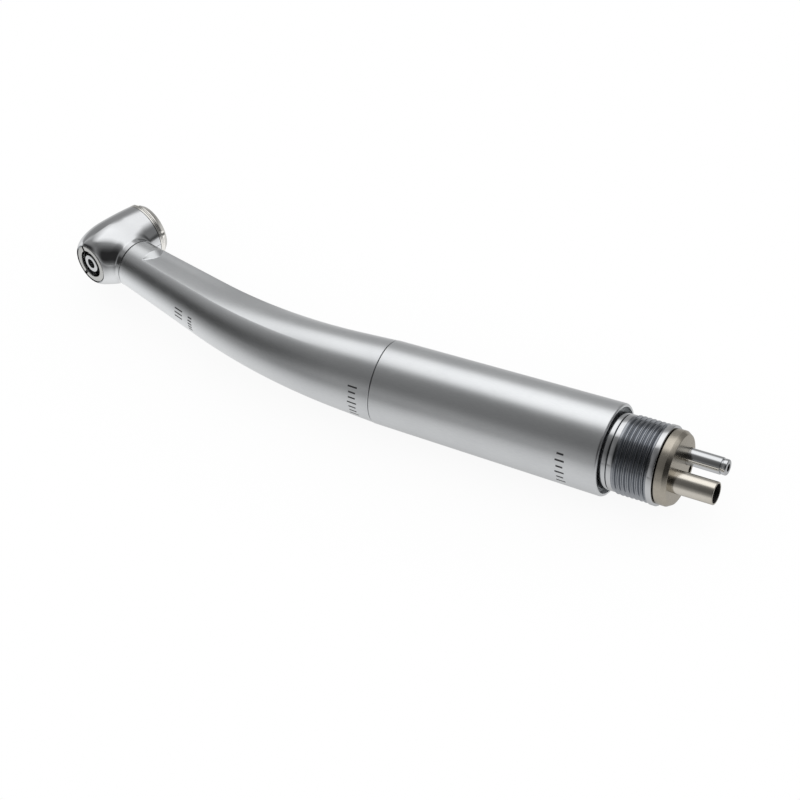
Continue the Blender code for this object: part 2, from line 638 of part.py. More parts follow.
def tube_path(offset, seat):
    """Route of an internal tube: beside the neck's axis, then across to its seat in the core block."""
    up_offset, side_offset = offset
    points = []
    steps = 10
    for i in range(steps + 1):
        distance = TUBE_FRONT * (1 - i / steps)
        centre, _, up = neck_point(distance)
        points.append(centre + up * up_offset + Vector((0, 0, side_offset)))
    start = NECK_START_X + SPIGOT_LENGTH + 2.0
    end = CORE_X[0] - 1.5
    points.append(Vector((start, up_offset, side_offset)))
    bends = 5
    for i in range(1, bends + 1):
        share = i / bends
        blend = share * share * (3 - 2 * share)
        points.append(Vector((start + (end - start) * share, up_offset + (seat[0] - up_offset) * blend,
                              side_offset + (seat[1] - side_offset) * blend)))
    points.append(Vector((TUBE_REAR_X, *seat)))
    return points


def internal_tube(name, offset, seat, radius, wall, paint):
    points = tube_path(offset, seat)
    tube = tube_along(name, points, radius, paint)
    front_out = points[0] + (points[0] - points[1]).normalized()
    rear_out = points[-1] + (points[-1] - points[-2]).normalized()
    bore = tube_along(name + "_bore_cut", [front_out] + points[1:-1] + [rear_out], radius - wall, None,
                      collection=CUTTERS)
    boolean(tube, bore)


def tube_spacer():
    """Disc in the neck's spigot that holds the three tubes apart and lets the exhaust air past."""
    front, rear = SPACER_X
    low, high = SPACER_HOLE_REACH
    disc_r = SPIGOT_BORE_R - 0.1
    spacer = turned("tube_spacer", [(0, rear), (disc_r, rear), (disc_r, front), (0, front)], ALUMINIUM, AXIS_FRAME)
    for name, (y, z), radius in (("drive", NECK_DRIVE, DRIVE_TUBE_R), ("water", NECK_WATER, SMALL_TUBE_R),
                                 ("chip", NECK_CHIP, SMALL_TUBE_R)):
        boolean(spacer, cylinder_cutter(f"spacer_{name}_cut", radius + 0.1, (low, y, z), (high, y, z), None))
    exhaust_ring_r = 3.6
    for i in range(3):
        around = TAU * (i + 0.25) / 3
        place = (exhaust_ring_r * math.cos(around), exhaust_ring_r * math.sin(around))
        boolean(spacer, cylinder_cutter(f"spacer_exhaust_{i + 1}_cut", 0.8, (low, *place), (high, *place), None))


# Back end

def core_block():
    """Turned manifold: the tubes plug in at its front and the nipples at its rear."""
    groove_r = CORE_R - 0.55
    profile = [(0, CORE_X[1]), (CORE_R, CORE_X[1])]
    for seal in sorted(CORE_SEAL_X, reverse=True):
        profile += [(CORE_R, seal + 0.4), (groove_r, seal + 0.4), (groove_r, seal - 0.4), (CORE_R, seal - 0.4)]
    profile += [(CORE_R, CORE_X[0]), (0, CORE_X[0])]
    core = turned("core_block", profile, BRASS, AXIS_FRAME)
    front = CORE_X[0] - 1
    rear = CORE_X[1] + 1
    for name, (y, z), radius, x_low, x_high in (
        ("drive_socket", DRIVE_SEAT, DRIVE_TUBE_R + 0.08, front, TUBE_SOCKET_REAR_X),
        ("drive_bore", DRIVE_SEAT, 0.8, front, rear),
        ("drive_counterbore", DRIVE_SEAT, DRIVE_NIPPLE_R + 0.07, FILTER_X[0] - 0.2, rear),
        ("water_socket", WATER_SEAT, SMALL_TUBE_R + 0.08, front, TUBE_SOCKET_REAR_X),
        ("water_bore", WATER_SEAT, 0.3, front, rear),
        ("valve_chamber", WATER_SEAT, VALVE_CHAMBER_R, VALVE_SPRING_X[0] - 0.15, rear),
        ("water_counterbore", WATER_SEAT, WATER_NIPPLE_R + 0.07, NIPPLE_FRONT_X - 0.2, rear),
        ("chip_socket", CHIP_SEAT, SMALL_TUBE_R + 0.08, front, TUBE_SOCKET_REAR_X),
        ("chip_bore", CHIP_SEAT, 0.3, front, CHIP_BORE_REAR_X),
        ("exhaust_lower", (1.4, -3.9), 1.2, front, rear),
        ("exhaust_upper", (-4.1, 2.9), 1.0, front, rear),
    ):
        boolean(core, cylinder_cutter(f"core_{name}_cut", radius, (x_low, y, z), (x_high, y, z), None))
    boolean(core, cylinder_cutter("core_cross_cut", 0.3, (CROSS_BORE_X, *CHIP_SEAT), (CROSS_BORE_X, *DRIVE_SEAT),
                                  None))


def check_valve():
    """Anti-retraction valve in the water line: a spring holds the ball against its seat."""
    frame = empty("water_line", frame_matrix((0, *WATER_SEAT), (0, 0, 1), (1, 0, 0)))
    washer("check_valve_seat", 0.35, VALVE_CHAMBER_R - 0.05, *VALVE_SEAT_X, BRASS, frame, SMALL_STEPS)
    mesh = bpy.data.meshes.new("check_valve_ball")
    shape = bmesh.new()
    bmesh.ops.create_uvsphere(shape, u_segments=16, v_segments=8, radius=VALVE_BALL_R * MM)
    shape.to_mesh(mesh)
    shape.free()
    smooth(mesh)
    ball = add_object("check_valve_ball", mesh, BEARING_STEEL)
    ball.location = Vector((VALVE_BALL_X, *WATER_SEAT)) * MM
    tube_along("check_valve_spring", coil_points(0.6, *VALVE_SPRING_X, 3), 0.08, SPRING_STEEL, frame)


def snap_ring():
    """Split ring between the handle's rear lip and the connector's thread."""
    ring = washer("snap_ring", CONNECTOR_NECK_R + 0.1, LOCK_RING_R, *LOCK_RING_X, MIRROR_CHROME, AXIS_FRAME)
    mesh = bpy.data.meshes.new("snap_ring_gap")
    shape = bmesh.new()
    bmesh.ops.create_cube(shape, size=1.0)
    bmesh.ops.scale(shape, vec=Vector((4.0, 3.0, 0.8)) * MM, verts=shape.verts)
    bmesh.ops.translate(shape, vec=Vector((sum(LOCK_RING_X) / 2, LOCK_RING_R, 0.0)) * MM, verts=shape.verts)
    shape.to_mesh(mesh)
    shape.free()
    boolean(ring, add_object("snap_ring_gap_cut", mesh, None, None, CUTTERS))


def connector_body():
    """Threaded tube that the hose's nut screws on, with a flange that the handle's lip holds in."""
    rear = CONNECTOR_X[1]
    profile = [(THREAD_CREST_R - 0.3, rear)]
    crests = int((THREAD_X[1] - THREAD_X[0]) / THREAD_PITCH)
    for i in range(crests):
        top = THREAD_X[1] - i * THREAD_PITCH
        profile += [(THREAD_CREST_R, top - 0.2), (THREAD_ROOT_R, top - 0.6)]
    flange_x = LOCK_RING_X[0] - 0.35
    flange_r = CORE_R + 0.05
    front = CORE_X[1] + CONNECTOR_FRONT_GAP
    profile += [(CONNECTOR_R, THREAD_X[0]), (CONNECTOR_R, CONNECTOR_X[0]), (CONNECTOR_NECK_R, CONNECTOR_X[0]),
                (CONNECTOR_NECK_R, flange_x), (flange_r, flange_x), (flange_r, front), (CONNECTOR_BORE_R, front),
                (CONNECTOR_BORE_R, rear)]
    turned("connector_body", profile, BLACK_CHROME, AXIS_FRAME, steps=CASING_STEPS, ring=True)


def end_plate():
    """Nickel plate that closes the back end, with seats for the nipples and ports for the exhaust air."""
    front, rear = END_PLATE_X
    spigot_r = CONNECTOR_BORE_R - 0.1
    plate = turned("end_plate", [
        (0, rear), (END_PLATE_R - END_PLATE_CHAMFER, rear), (END_PLATE_R, rear - END_PLATE_CHAMFER),
        (END_PLATE_R, front), (spigot_r, front), (spigot_r, front - END_PLATE_SPIGOT),
        (0, front - END_PLATE_SPIGOT)], NICKEL, AXIS_FRAME, steps=CASING_STEPS)
    low, high = front - END_PLATE_SPIGOT - 3.0, rear + 1.0
    for name, (y, z), radius in (
        ("drive_seat", DRIVE_SEAT, DRIVE_NIPPLE_R + NIPPLE_CLEARANCE),
        ("water_seat", WATER_SEAT, WATER_NIPPLE_R + NIPPLE_CLEARANCE),
        ("exhaust_port_1", EXHAUST_PORTS[0], EXHAUST_PORT_R), ("exhaust_port_2", EXHAUST_PORTS[1], EXHAUST_PORT_R),
    ):
        boolean(plate, cylinder_cutter(f"plate_{name}_cut", radius, (low, y, z), (high, y, z), None, STEPS))


def gasket(name, nipple_r, width, frame):
    low = CORE_X[1] + 0.1
    washer(name, nipple_r + 0.07, nipple_r + width, low, low + 0.8, RUBBER, frame, SMALL_STEPS)


def nipples():
    """Drive-air nipple with its filter, water nipple with its stepped tip, and a gasket on each."""
    drive_frame = empty("drive_line", frame_matrix((0, *DRIVE_SEAT), (0, 0, 1), (1, 0, 0)))
    turned("drive_air_nipple", [
        (DRIVE_NIPPLE_R - NIPPLE_CHAMFER, DRIVE_NIPPLE_REAR_X),
        (DRIVE_NIPPLE_R, DRIVE_NIPPLE_REAR_X - NIPPLE_CHAMFER), (DRIVE_NIPPLE_R, NIPPLE_FRONT_X),
        (DRIVE_NIPPLE_BORE_R, NIPPLE_FRONT_X), (DRIVE_NIPPLE_BORE_R, DRIVE_NIPPLE_REAR_X)],
        NICKEL, drive_frame, ring=True)
    washer("air_filter", 0.5, DRIVE_NIPPLE_R - 0.05, *FILTER_X, SINTERED, drive_frame, SMALL_STEPS)
    gasket("drive_air_gasket", DRIVE_NIPPLE_R, 0.9, drive_frame)
    water_frame = empty("water_nipple_axis", frame_matrix((0, *WATER_SEAT), (0, 0, 1), (1, 0, 0)))
    step_x = WATER_NIPPLE_REAR_X - WATER_TIP_LENGTH
    shoulder_x = step_x - WATER_NECK_LENGTH
    turned("water_nipple", [
        (WATER_TIP_R - NIPPLE_CHAMFER, WATER_NIPPLE_REAR_X), (WATER_TIP_R, WATER_NIPPLE_REAR_X - NIPPLE_CHAMFER),
        (WATER_TIP_R, step_x), (WATER_NECK_R, step_x), (WATER_NECK_R, shoulder_x),
        (WATER_NIPPLE_R - NIPPLE_CHAMFER, shoulder_x), (WATER_NIPPLE_R, shoulder_x - NIPPLE_CHAMFER),
        (WATER_NIPPLE_R, NIPPLE_FRONT_X), (WATER_NIPPLE_BORE_R, NIPPLE_FRONT_X),
        (WATER_NIPPLE_BORE_R, WATER_NIPPLE_REAR_X)], MIRROR_CHROME, water_frame, steps=SMALL_STEPS, ring=True)
    gasket("water_gasket", WATER_NIPPLE_R, 0.4, water_frame)


# Assembly

head_housing()
nose_ring()
head_cap()
push_button()
tube_along("button_spring", coil_points(2.5, 5.38, 6.74, 2.5), 0.12, SPRING_STEEL, HEAD_FRAME)
bearing("front", FRONT_BEARING_Z)
bearing("rear", REAR_BEARING_Z)
o_ring("front_bearing_seal", 3.56, 0.25, FRONT_BEARING_Z, RUBBER, HEAD_FRAME)
o_ring("rear_bearing_seal", 3.56, 0.25, REAR_BEARING_Z, RUBBER, HEAD_FRAME)
turned("preload_washer", [(3.1, 4.65), (3.1, 4.53), (2.5, 4.7), (2.5, 4.82)], SPRING_STEEL, HEAD_FRAME, ring=True)
spindle()
impeller()
chuck()
neck_sleeve()
o_ring("neck_seal", 5.92, 0.24, NECK_SEAL_X, RUBBER, AXIS_FRAME)
handle_sleeve()
internal_tube("drive_air_tube", NECK_DRIVE, DRIVE_SEAT, DRIVE_TUBE_R, 0.25, BEARING_STEEL)
internal_tube("water_tube", NECK_WATER, WATER_SEAT, SMALL_TUBE_R, 0.15, BEARING_STEEL)
internal_tube("chip_air_tube", NECK_CHIP, CHIP_SEAT, SMALL_TUBE_R, 0.15, BEARING_STEEL)
tube_spacer()
core_block()
for label, seal_x in zip(("front", "rear"), CORE_SEAL_X):
    o_ring(f"core_{label}_seal", CORE_R - 0.23, 0.28, seal_x, RUBBER, AXIS_FRAME)
check_valve()
snap_ring()
connector_body()
washer("polished_ring", CONNECTOR_BORE_R, POLISHED_RING_R, *POLISHED_RING_X, MIRROR_CHROME, AXIS_FRAME,
       CASING_STEPS)
end_plate()
nipples()
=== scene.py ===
"""Looks of a high speed dental handpiece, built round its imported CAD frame.

Metres, in the CAD frame: the handle's axis is X, +X points out towards the hose, the neck and the head's
axis lie in the XY plane with the bur side towards -Y, and +Z is up. Shape lengths below are written in
millimetres and scaled by MM when a mesh is made.
"""

import json
import math
import bmesh
import bpy
import numpy as np
from mathutils import Matrix, Vector


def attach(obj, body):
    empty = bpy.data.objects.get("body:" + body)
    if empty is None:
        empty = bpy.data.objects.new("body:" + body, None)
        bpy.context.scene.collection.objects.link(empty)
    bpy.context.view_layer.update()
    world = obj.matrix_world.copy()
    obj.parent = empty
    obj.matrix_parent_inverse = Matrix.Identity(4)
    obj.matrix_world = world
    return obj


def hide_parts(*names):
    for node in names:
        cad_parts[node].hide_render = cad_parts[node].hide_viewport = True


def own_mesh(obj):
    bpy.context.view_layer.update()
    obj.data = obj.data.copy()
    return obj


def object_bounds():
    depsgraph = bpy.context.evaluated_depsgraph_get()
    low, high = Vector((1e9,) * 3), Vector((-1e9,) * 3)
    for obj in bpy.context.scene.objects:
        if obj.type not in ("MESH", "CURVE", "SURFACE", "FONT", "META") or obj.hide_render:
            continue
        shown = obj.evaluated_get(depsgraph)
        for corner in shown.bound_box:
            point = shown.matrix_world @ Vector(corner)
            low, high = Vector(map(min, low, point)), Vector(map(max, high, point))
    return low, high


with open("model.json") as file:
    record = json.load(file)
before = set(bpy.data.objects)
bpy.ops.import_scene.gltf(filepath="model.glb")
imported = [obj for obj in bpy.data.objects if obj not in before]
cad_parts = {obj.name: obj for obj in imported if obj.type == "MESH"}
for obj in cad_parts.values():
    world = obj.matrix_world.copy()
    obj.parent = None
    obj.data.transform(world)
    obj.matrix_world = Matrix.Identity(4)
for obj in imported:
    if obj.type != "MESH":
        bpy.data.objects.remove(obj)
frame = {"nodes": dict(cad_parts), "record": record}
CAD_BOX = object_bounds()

MM = 0.001
TAU = 2.0 * math.pi
FINE = 192
SHARP = 32.0

# Handle and back end, as stations along X, or (station, radius).
SEAM_X = -51.5
HANDLE_FRONT = (-51.4, 6.95)
HANDLE_REAR = (-11.2, 7.65)
THREAD_X = (-9.1, -3.55)
THREAD_PITCH = 0.8
THREAD_CREST_R = 6.5
THREAD_ROOT_R = 6.08
SHANK_R = 6.2
SNAP_SLIT = (4.0, 3.0, 0.8)

# Neck: a straight run, an arc and a straight run to the head's axis.
NECK_STRAIGHT = 6.1
NECK_ARC_R = 95.7
NECK_ARC = math.radians(17.2)
NECK_LENGTH = 58.55
HEAD_SEAM = 5.4
NECK_RADII = (6.9, 5.38, 4.07)
NECK_WALL = 0.8
NECK_SPARE_WALL = 0.35
FLAT_FROM = 8.0
FLAT_FULL = 42.0
FLAT_END = 49.5
FLAT_SLOPE = 0.65
FLAT_SHARE = 0.18
FLAT_MIDDLE = math.radians(74.0)
FLAT_TOP = math.radians(44.0)
CREASE = math.radians(114.0)
CREASE_SPREAD = (0.25, 0.6, 1.2, 2.2, 3.6)

# Head, along its own axis: +z towards the push button.
HEAD_LEAN = math.radians(-3.8)
NOSE_Z = -5.2
CAP_SEAM_Z = 6.2
HEAD_CAP_R = 4.95
HEAD_MAX_R = 5.2
HEAD_BELT_Z = 0.3
NOSE_R = 3.5
STUB_R = 4.12
SEAM_LIP = 0.07
NOSE_NOTCHES = (57, 299)
NOSE_NOTCH_R = 0.27
NOSE_NOTCH_Z = NOSE_Z - 0.03
CAP_NOTCH = math.radians(68.0)
CAP_NOTCH_R = 0.75
CAP_NOTCH_REACH = 5.2

# Seats of the nipples and ports in the end plate, as (y, z).
DRIVE_SEAT = (-1.9, -0.8)
WATER_SEAT = (3.4, 0.05)
EXHAUST_PORTS = ((1.6, -3.9), (3.6, -2.9))
DRIVE_BORE_R = 1.6
WATER_BORE_R = 0.6
TUBE_END = -19.0


# Frames and the neck's line

def neck_point(q):
    """Centre, forward direction and in-plane normal of the neck's axis, q mm in front of its rear seam."""
    turn = min(max(q - NECK_STRAIGHT, 0.0) / NECK_ARC_R, NECK_ARC)
    straight = min(q, NECK_STRAIGHT)
    rest = max(q - NECK_STRAIGHT - turn * NECK_ARC_R, 0.0)
    forward = Vector((-math.cos(turn), math.sin(turn), 0.0))
    centre = Vector((SEAM_X - straight - NECK_ARC_R * math.sin(turn), NECK_ARC_R * (1.0 - math.cos(turn)), 0.0))
    return centre + forward * rest, forward, Vector((forward.y, -forward.x, 0.0))


def frame_matrix(origin, x_axis, z_axis):
    """A frame at origin (mm) with local Z along z_axis and local X as near x_axis as it can be."""
    z = Vector(z_axis).normalized()
    y = z.cross(Vector(x_axis)).normalized()
    rotation = Matrix((y.cross(z), y, z)).transposed().to_4x4()
    return Matrix.Translation(Vector(origin)) @ rotation


HEAD_CENTRE, NECK_FORWARD, NECK_UP = neck_point(NECK_LENGTH)
LEAN = Matrix.Rotation(HEAD_LEAN, 3, "Z")
HEAD_UP = LEAN @ NECK_UP
HEAD = frame_matrix(HEAD_CENTRE, LEAN @ NECK_FORWARD, HEAD_UP)
STUB = frame_matrix(HEAD_CENTRE, NECK_UP, -NECK_FORWARD)
AXIS = frame_matrix((0, 0, 0), (0, 0, 1), (1, 0, 0))
DRIVE_LINE = frame_matrix((0, *DRIVE_SEAT), (0, 0, 1), (1, 0, 0))
WATER_LINE = frame_matrix((0, *WATER_SEAT), (0, 0, 1), (1, 0, 0))


# Materials

def node(tree, kind, **inputs):
    """A node with these inputs set, by name or as i0, i1: each to a value, or linked from a socket."""
    made = tree.nodes.new(kind)
    for key, value in inputs.items():
        numbered = key[0] == "i" and key[1:].isdigit()
        socket = made.inputs[int(key[1:]) if numbered else key]
        if isinstance(value, bpy.types.NodeSocket):
            tree.links.new(value, socket)
        else:
            socket.default_value = value
    return made


def math_node(tree, operation, a, b=0.0, c=0.0):
    made = node(tree, "ShaderNodeMath", i0=a, i1=b, i2=c)
    made.operation = operation
    return made.outputs[0]


def map_range(tree, value, low, high, to_low=0.0, to_high=1.0, smooth=False):
    """The value moved from low..high to to_low..to_high, and held there beyond them."""
    made = tree.nodes.new("ShaderNodeMapRange")
    made.interpolation_type = "SMOOTHSTEP" if smooth else "LINEAR"
    tree.links.new(value, made.inputs["Value"])
    made.inputs["From Min"].default_value = low
    made.inputs["From Max"].default_value = high
    made.inputs["To Min"].default_value = to_low
    made.inputs["To Max"].default_value = to_high
    return made.outputs[0]


def noise(tree, vector, scale, stretch=(1, 1, 1), detail=3.0, roughness=0.5):
    """Noise at this many cycles a millimetre, stretched along the object's axes."""
    mapping = node(tree, "ShaderNodeMapping", Vector=vector)
    mapping.inputs["Scale"].default_value = [scale / MM * s for s in stretch]
    made = node(tree, "ShaderNodeTexNoise", Vector=mapping.outputs[0], Scale=1.0, Detail=detail,
                Roughness=roughness)
    return made.outputs["Fac"]


def mix_colours(tree, share, first, second):
    """A blend of two colours, each a socket or a tuple, by a socket's share of the second."""
    made = tree.nodes.new("ShaderNodeMix")
    made.data_type = "RGBA"
    tree.links.new(share, made.inputs["Factor"])
    for name, colour in (("A", first), ("B", second)):
        if isinstance(colour, bpy.types.NodeSocket):
            tree.links.new(colour, made.inputs[name])
        else:
            made.inputs[name].default_value = (*colour, 1.0)
    return made.outputs["Result"]


def relief(tree, height, depth):
    """A bump's normal, from a height socket and its depth in mm."""
    return node(tree, "ShaderNodeBump", Height=height, Distance=depth * MM, Strength=1.0).outputs[0]


def new_paint(name):
    """An empty Principled material, with its tree, its shader and the object's own coordinates."""
    paint = bpy.data.materials.new(name)
    paint.use_nodes = True
    tree = paint.node_tree
    return paint, tree, tree.nodes["Principled BSDF"], tree.nodes.new("ShaderNodeTexCoord").outputs["Object"]


def metal(name, colour, dark, roughness, spread, grain, stretch, bump, edge=0.6, smudge=0.0):
    """A metal whose tone, roughness and relief vary with fine grain and soft smudges."""
    paint, tree, shader, place = new_paint(name)
    fine = noise(tree, place, grain, stretch)
    cloud = noise(tree, place, 0.12, (1, 1, 1), 2.0)
    mixed = math_node(tree, "MULTIPLY_ADD", fine, 0.6, math_node(tree, "MULTIPLY", cloud, 0.4))
    low = roughness - spread / 2
    rough = map_range(tree, mixed, 0.3, 0.7, low, low + spread)
    if smudge:
        spots = noise(tree, place, 0.35, (1, 1, 1), 4.0, 0.6)
        rough = math_node(tree, "ADD", rough, map_range(tree, spots, 0.52, 0.72, 0.0, smudge, True))
    tone = mix_colours(tree, map_range(tree, mixed, 0.35, 0.65), dark, colour)
    tree.links.new(tone, shader.inputs["Base Color"])
    tree.links.new(rough, shader.inputs["Roughness"])
    shader.inputs["Metallic"].default_value = 1.0
    shader.inputs["Specular Tint"].default_value = (edge, edge, edge, 1.0)
    if bump:
        tree.links.new(relief(tree, fine, bump), shader.inputs["Normal"])
    return paint


def plain(name, colour, dark, roughness, grain, bump):
    """A rubber or a resin: mottled tone, uneven gloss and a fine grain."""
    paint, tree, shader, place = new_paint(name)
    fine = noise(tree, place, grain)
    tone = mix_colours(tree, map_range(tree, fine, 0.35, 0.65), dark, colour)
    tree.links.new(tone, shader.inputs["Base Color"])
    gloss = map_range(tree, fine, 0.3, 0.7, roughness - 0.08, roughness + 0.08)
    tree.links.new(gloss, shader.inputs["Roughness"])
    tree.links.new(relief(tree, fine, bump), shader.inputs["Normal"])
    return paint


SATIN = metal("satin_steel", (0.74, 0.755, 0.765), (0.68, 0.695, 0.71), 0.30, 0.04, 9.0, (0.12, 1, 1), 0.00025,
              edge=0.8, smudge=0.03)
CHROME = metal("mirror_chrome", (0.65, 0.66, 0.67), (0.62, 0.63, 0.645), 0.08, 0.02, 6.0, (1, 1, 1), 0.0,
               edge=0.7, smudge=0.04)
BLACK = metal("black_chrome", (0.34, 0.355, 0.38), (0.30, 0.315, 0.34), 0.15, 0.03, 1.6, (1, 1, 1), 0.0,
              edge=0.9, smudge=0.03)
NICKEL = metal("nickel", (0.50, 0.465, 0.40), (0.45, 0.415, 0.355), 0.24, 0.05, 1.8, (1, 1, 1), 0.0, edge=0.7,
               smudge=0.05)
POLISHED_NICKEL = metal("polished_nickel", (0.72, 0.68, 0.61), (0.67, 0.635, 0.57), 0.14, 0.03, 1.8, (1, 1, 1),
                        0.0, edge=0.6, smudge=0.05)
CAP_NICKEL = metal("cap_nickel", (0.76, 0.745, 0.71), (0.72, 0.705, 0.67), 0.12, 0.03, 1.8, (1, 1, 1),
                   0.0, edge=0.6, smudge=0.04)
BEARING = metal("bearing_steel", (0.62, 0.63, 0.64), (0.52, 0.53, 0.54), 0.18, 0.08, 8.0, (1, 1, 1), 0.0005)
SPRING = metal("spring_steel", (0.46, 0.47, 0.49), (0.36, 0.37, 0.39), 0.30, 0.10, 12.0, (1, 1, 1), 0.0008)
BRASS = metal("brass", (0.74, 0.56, 0.28), (0.62, 0.45, 0.20), 0.30, 0.12, 4.0, (0.2, 1, 1), 0.001)
ALUMINIUM = metal("aluminium", (0.76, 0.77, 0.78), (0.66, 0.67, 0.69), 0.35, 0.12, 6.0, (1, 1, 1), 0.001)
BRONZE = metal("sintered_bronze", (0.56, 0.42, 0.24), (0.30, 0.21, 0.11), 0.75, 0.2, 7.0, (1, 1, 1), 0.03)
RESIN = plain("cage_resin", (0.02, 0.018, 0.016), (0.012, 0.011, 0.010), 0.45, 6.0, 0.002)
RUBBER = plain("black_rubber", (0.025, 0.025, 0.026), (0.015, 0.015, 0.016), 0.65, 8.0, 0.003)
RING_STEEL = metal("ring_steel", (0.52, 0.52, 0.51), (0.46, 0.46, 0.45), 0.22, 0.05, 3.0, (1, 1, 1), 0.0,
                   edge=0.6, smudge=0.05)
# Near-black painted shade for the insides of the tubes' bores and the nose ring's notches, in place of the shade
# in these recesses.
PAINTED_RECESS_SHADE = plain("painted_recess_shade", (0.03, 0.028, 0.026), (0.015, 0.014, 0.013), 0.5, 5.0, 0.002)
ETCH = plain("etched_mark", (0.05, 0.05, 0.055), (0.03, 0.03, 0.033), 0.5, 12.0, 0.002)
SLOTS = {paint.name: paint for paint in (SATIN, CHROME, BLACK, NICKEL, BEARING, SPRING, BRASS, ALUMINIUM, BRONZE,
                                         RESIN, RUBBER)}


# Mesh building

def finish_mesh(shape, name, paint, matrix=None, sharp=SHARP):
    """The bmesh, in mm, as a smooth-shaded object in metres."""
    bmesh.ops.recalc_face_normals(shape, faces=shape.faces)
    shape.transform(Matrix.Scale(MM, 4) @ (matrix or Matrix.Identity(4)))
    mesh = bpy.data.meshes.new(name)
    shape.to_mesh(mesh)
    shape.free()
    mesh.materials.append(paint)
    mesh.shade_smooth()
    mesh.set_sharp_from_angle(angle=math.radians(sharp))
    made = bpy.data.objects.new(name, mesh)
    bpy.context.scene.collection.objects.link(made)
    return made


def rounded(profile, arcs=4, closed=False):
    """Points (r, z) of a profile whose corners (r, z, fillet) are rounded."""
    out = []
    count = len(profile)
    for i, corner in enumerate(profile):
        point = Vector(corner[:2])
        fillet = corner[2] if len(corner) > 2 else 0.0
        if not fillet or (not closed and i in (0, count - 1)):
            out.append(tuple(point))
            continue
        before = (Vector(profile[i - 1][:2]) - point).normalized()
        after = (Vector(profile[(i + 1) % count][:2]) - point).normalized()
        half = before.angle(after) / 2
        if half > math.radians(88.0):
            out.append(tuple(point))
            continue
        reach = fillet / math.tan(half)
        start, end = point + before * reach, point + after * reach
        centre = point + (before + after).normalized() * (fillet / math.sin(half))
        from_start, to_end = start - centre, end - centre
        swing = from_start.angle(to_end)
        for k in range(arcs + 1):
            share = k / arcs
            weight = math.sin((1 - share) * swing), math.sin(share * swing)
            turned = (from_start * weight[0] + to_end * weight[1]) / math.sin(swing)
            out.append(tuple(centre + turned))
    return out


def revolve_shape(profile, ring=False, steps=FINE, arcs=4):
    """A closed bmesh of revolution about Z from a profile of (r, z) or (r, z, fillet) corners."""
    points = rounded(profile, arcs, closed=ring)
    shape = bmesh.new()
    columns = []
    for k in range(steps):
        turn = TAU * k / steps
        columns.append([shape.verts.new((r * math.cos(turn), r * math.sin(turn), z)) if r > 1e-9 or not k
                        else None for r, z in points])
    for column in columns[1:]:
        for i, point in enumerate(column):
            if point is None:
                column[i] = columns[0][i]
    rows = len(points)
    for k in range(steps):
        here, there = columns[k], columns[(k + 1) % steps]
        for i in range(rows if ring else rows - 1):
            j = (i + 1) % rows
            corners = []
            for corner in (here[i], here[j], there[j], there[i]):
                if corner not in corners:
                    corners.append(corner)
            if len(corners) > 2:
                shape.faces.new(corners)
    return shape


def turned(name, profile, paint, matrix, ring=False, steps=FINE, arcs=4):
    """A turned piece; ring closes the profile on itself, for one with a bore."""
    return finish_mesh(revolve_shape(profile, ring, steps, arcs), name, paint, matrix)


def cutter(shape, matrix=None):
    """A helper solid for a Boolean; it is removed once it has cut."""
    return finish_mesh(shape, "cutter", RUBBER, matrix)


def rod(radius, start, end, steps=48):
    """A closed cylinder between two points, as a bmesh."""
    start, end = Vector(start), Vector(end)
    shape = bmesh.new()
    bmesh.ops.create_cone(shape, cap_ends=True, segments=steps, radius1=radius, radius2=radius,
                          depth=(end - start).length)
    aim = (end - start).to_track_quat("Z", "Y").to_matrix().to_4x4()
    shape.transform(Matrix.Translation((start + end) / 2) @ aim)
    return shape


def apply_boolean(target, others, operation="DIFFERENCE"):
    """Cuts the others from the target, or joins them to it, and bakes the result into its mesh."""
    for other in others:
        step = target.modifiers.new("cut", "BOOLEAN")
        step.operation = operation
        step.solver = "EXACT"
        step.object = other
    graph = bpy.context.evaluated_depsgraph_get()
    made = bpy.data.meshes.new_from_object(target.evaluated_get(graph))
    target.modifiers.clear()
    target.data = made
    for other in others:
        bpy.data.objects.remove(other, do_unlink=True)
    while len(made.materials) > 1:
        made.materials.pop()
    made.polygons.foreach_set("material_index", [0] * len(made.polygons))
    made.shade_smooth()
    made.set_sharp_from_angle(angle=math.radians(SHARP))


def wire(name, points, radius, paint, matrix):
    """A round wire along points (mm), closed at both ends."""
    sides = 10
    points = [Vector(p) for p in points]
    shape = bmesh.new()
    rows = []
    side = Vector((0, 0, 1))
    for i, point in enumerate(points):
        along = (points[min(i + 1, len(points) - 1)] - points[max(i - 1, 0)]).normalized()
        side = (side - along * side.dot(along)).normalized()
        other = along.cross(side)
        rows.append([shape.verts.new(point + side * (radius * math.cos(TAU * k / sides))
                                     + other * (radius * math.sin(TAU * k / sides))) for k in range(sides)])
    for row, after in zip(rows, rows[1:]):
        for k in range(sides):
            shape.faces.new((row[k], row[(k + 1) % sides], after[(k + 1) % sides], after[k]))
    shape.faces.new(rows[0])
    shape.faces.new(list(reversed(rows[-1])))
    return finish_mesh(shape, name, paint, matrix)


def coil(radius, low, high, turns):
    """Points of a spring about Z whose end turns lie flat."""
    flat, per_turn = 0.5, 28
    count = int(turns * per_turn) + 1
    points = []
    for i in range(count):
        around = turns * i / (count - 1)
        rise = min(max((around - flat) / (turns - 2 * flat), 0.0), 1.0)
        turn = TAU * around
        points.append((radius * math.cos(turn), radius * math.sin(turn), low + (high - low) * rise))
    return points


def place(piece, body, slot, *nodes):
    """Puts a piece on its CAD body, in the place of these CAD nodes; its slot is not used."""
    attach(piece, body)
    if nodes:
        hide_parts(*nodes)
    return piece


# Head housing: a barrel closed in a dome, blended into the stub that meets the neck

def smoothstep(x):
    """0 below 0, 1 above 1, and an S between them."""
    x = np.clip(x, 0.0, 1.0)
    return x * x * (3.0 - 2.0 * x)


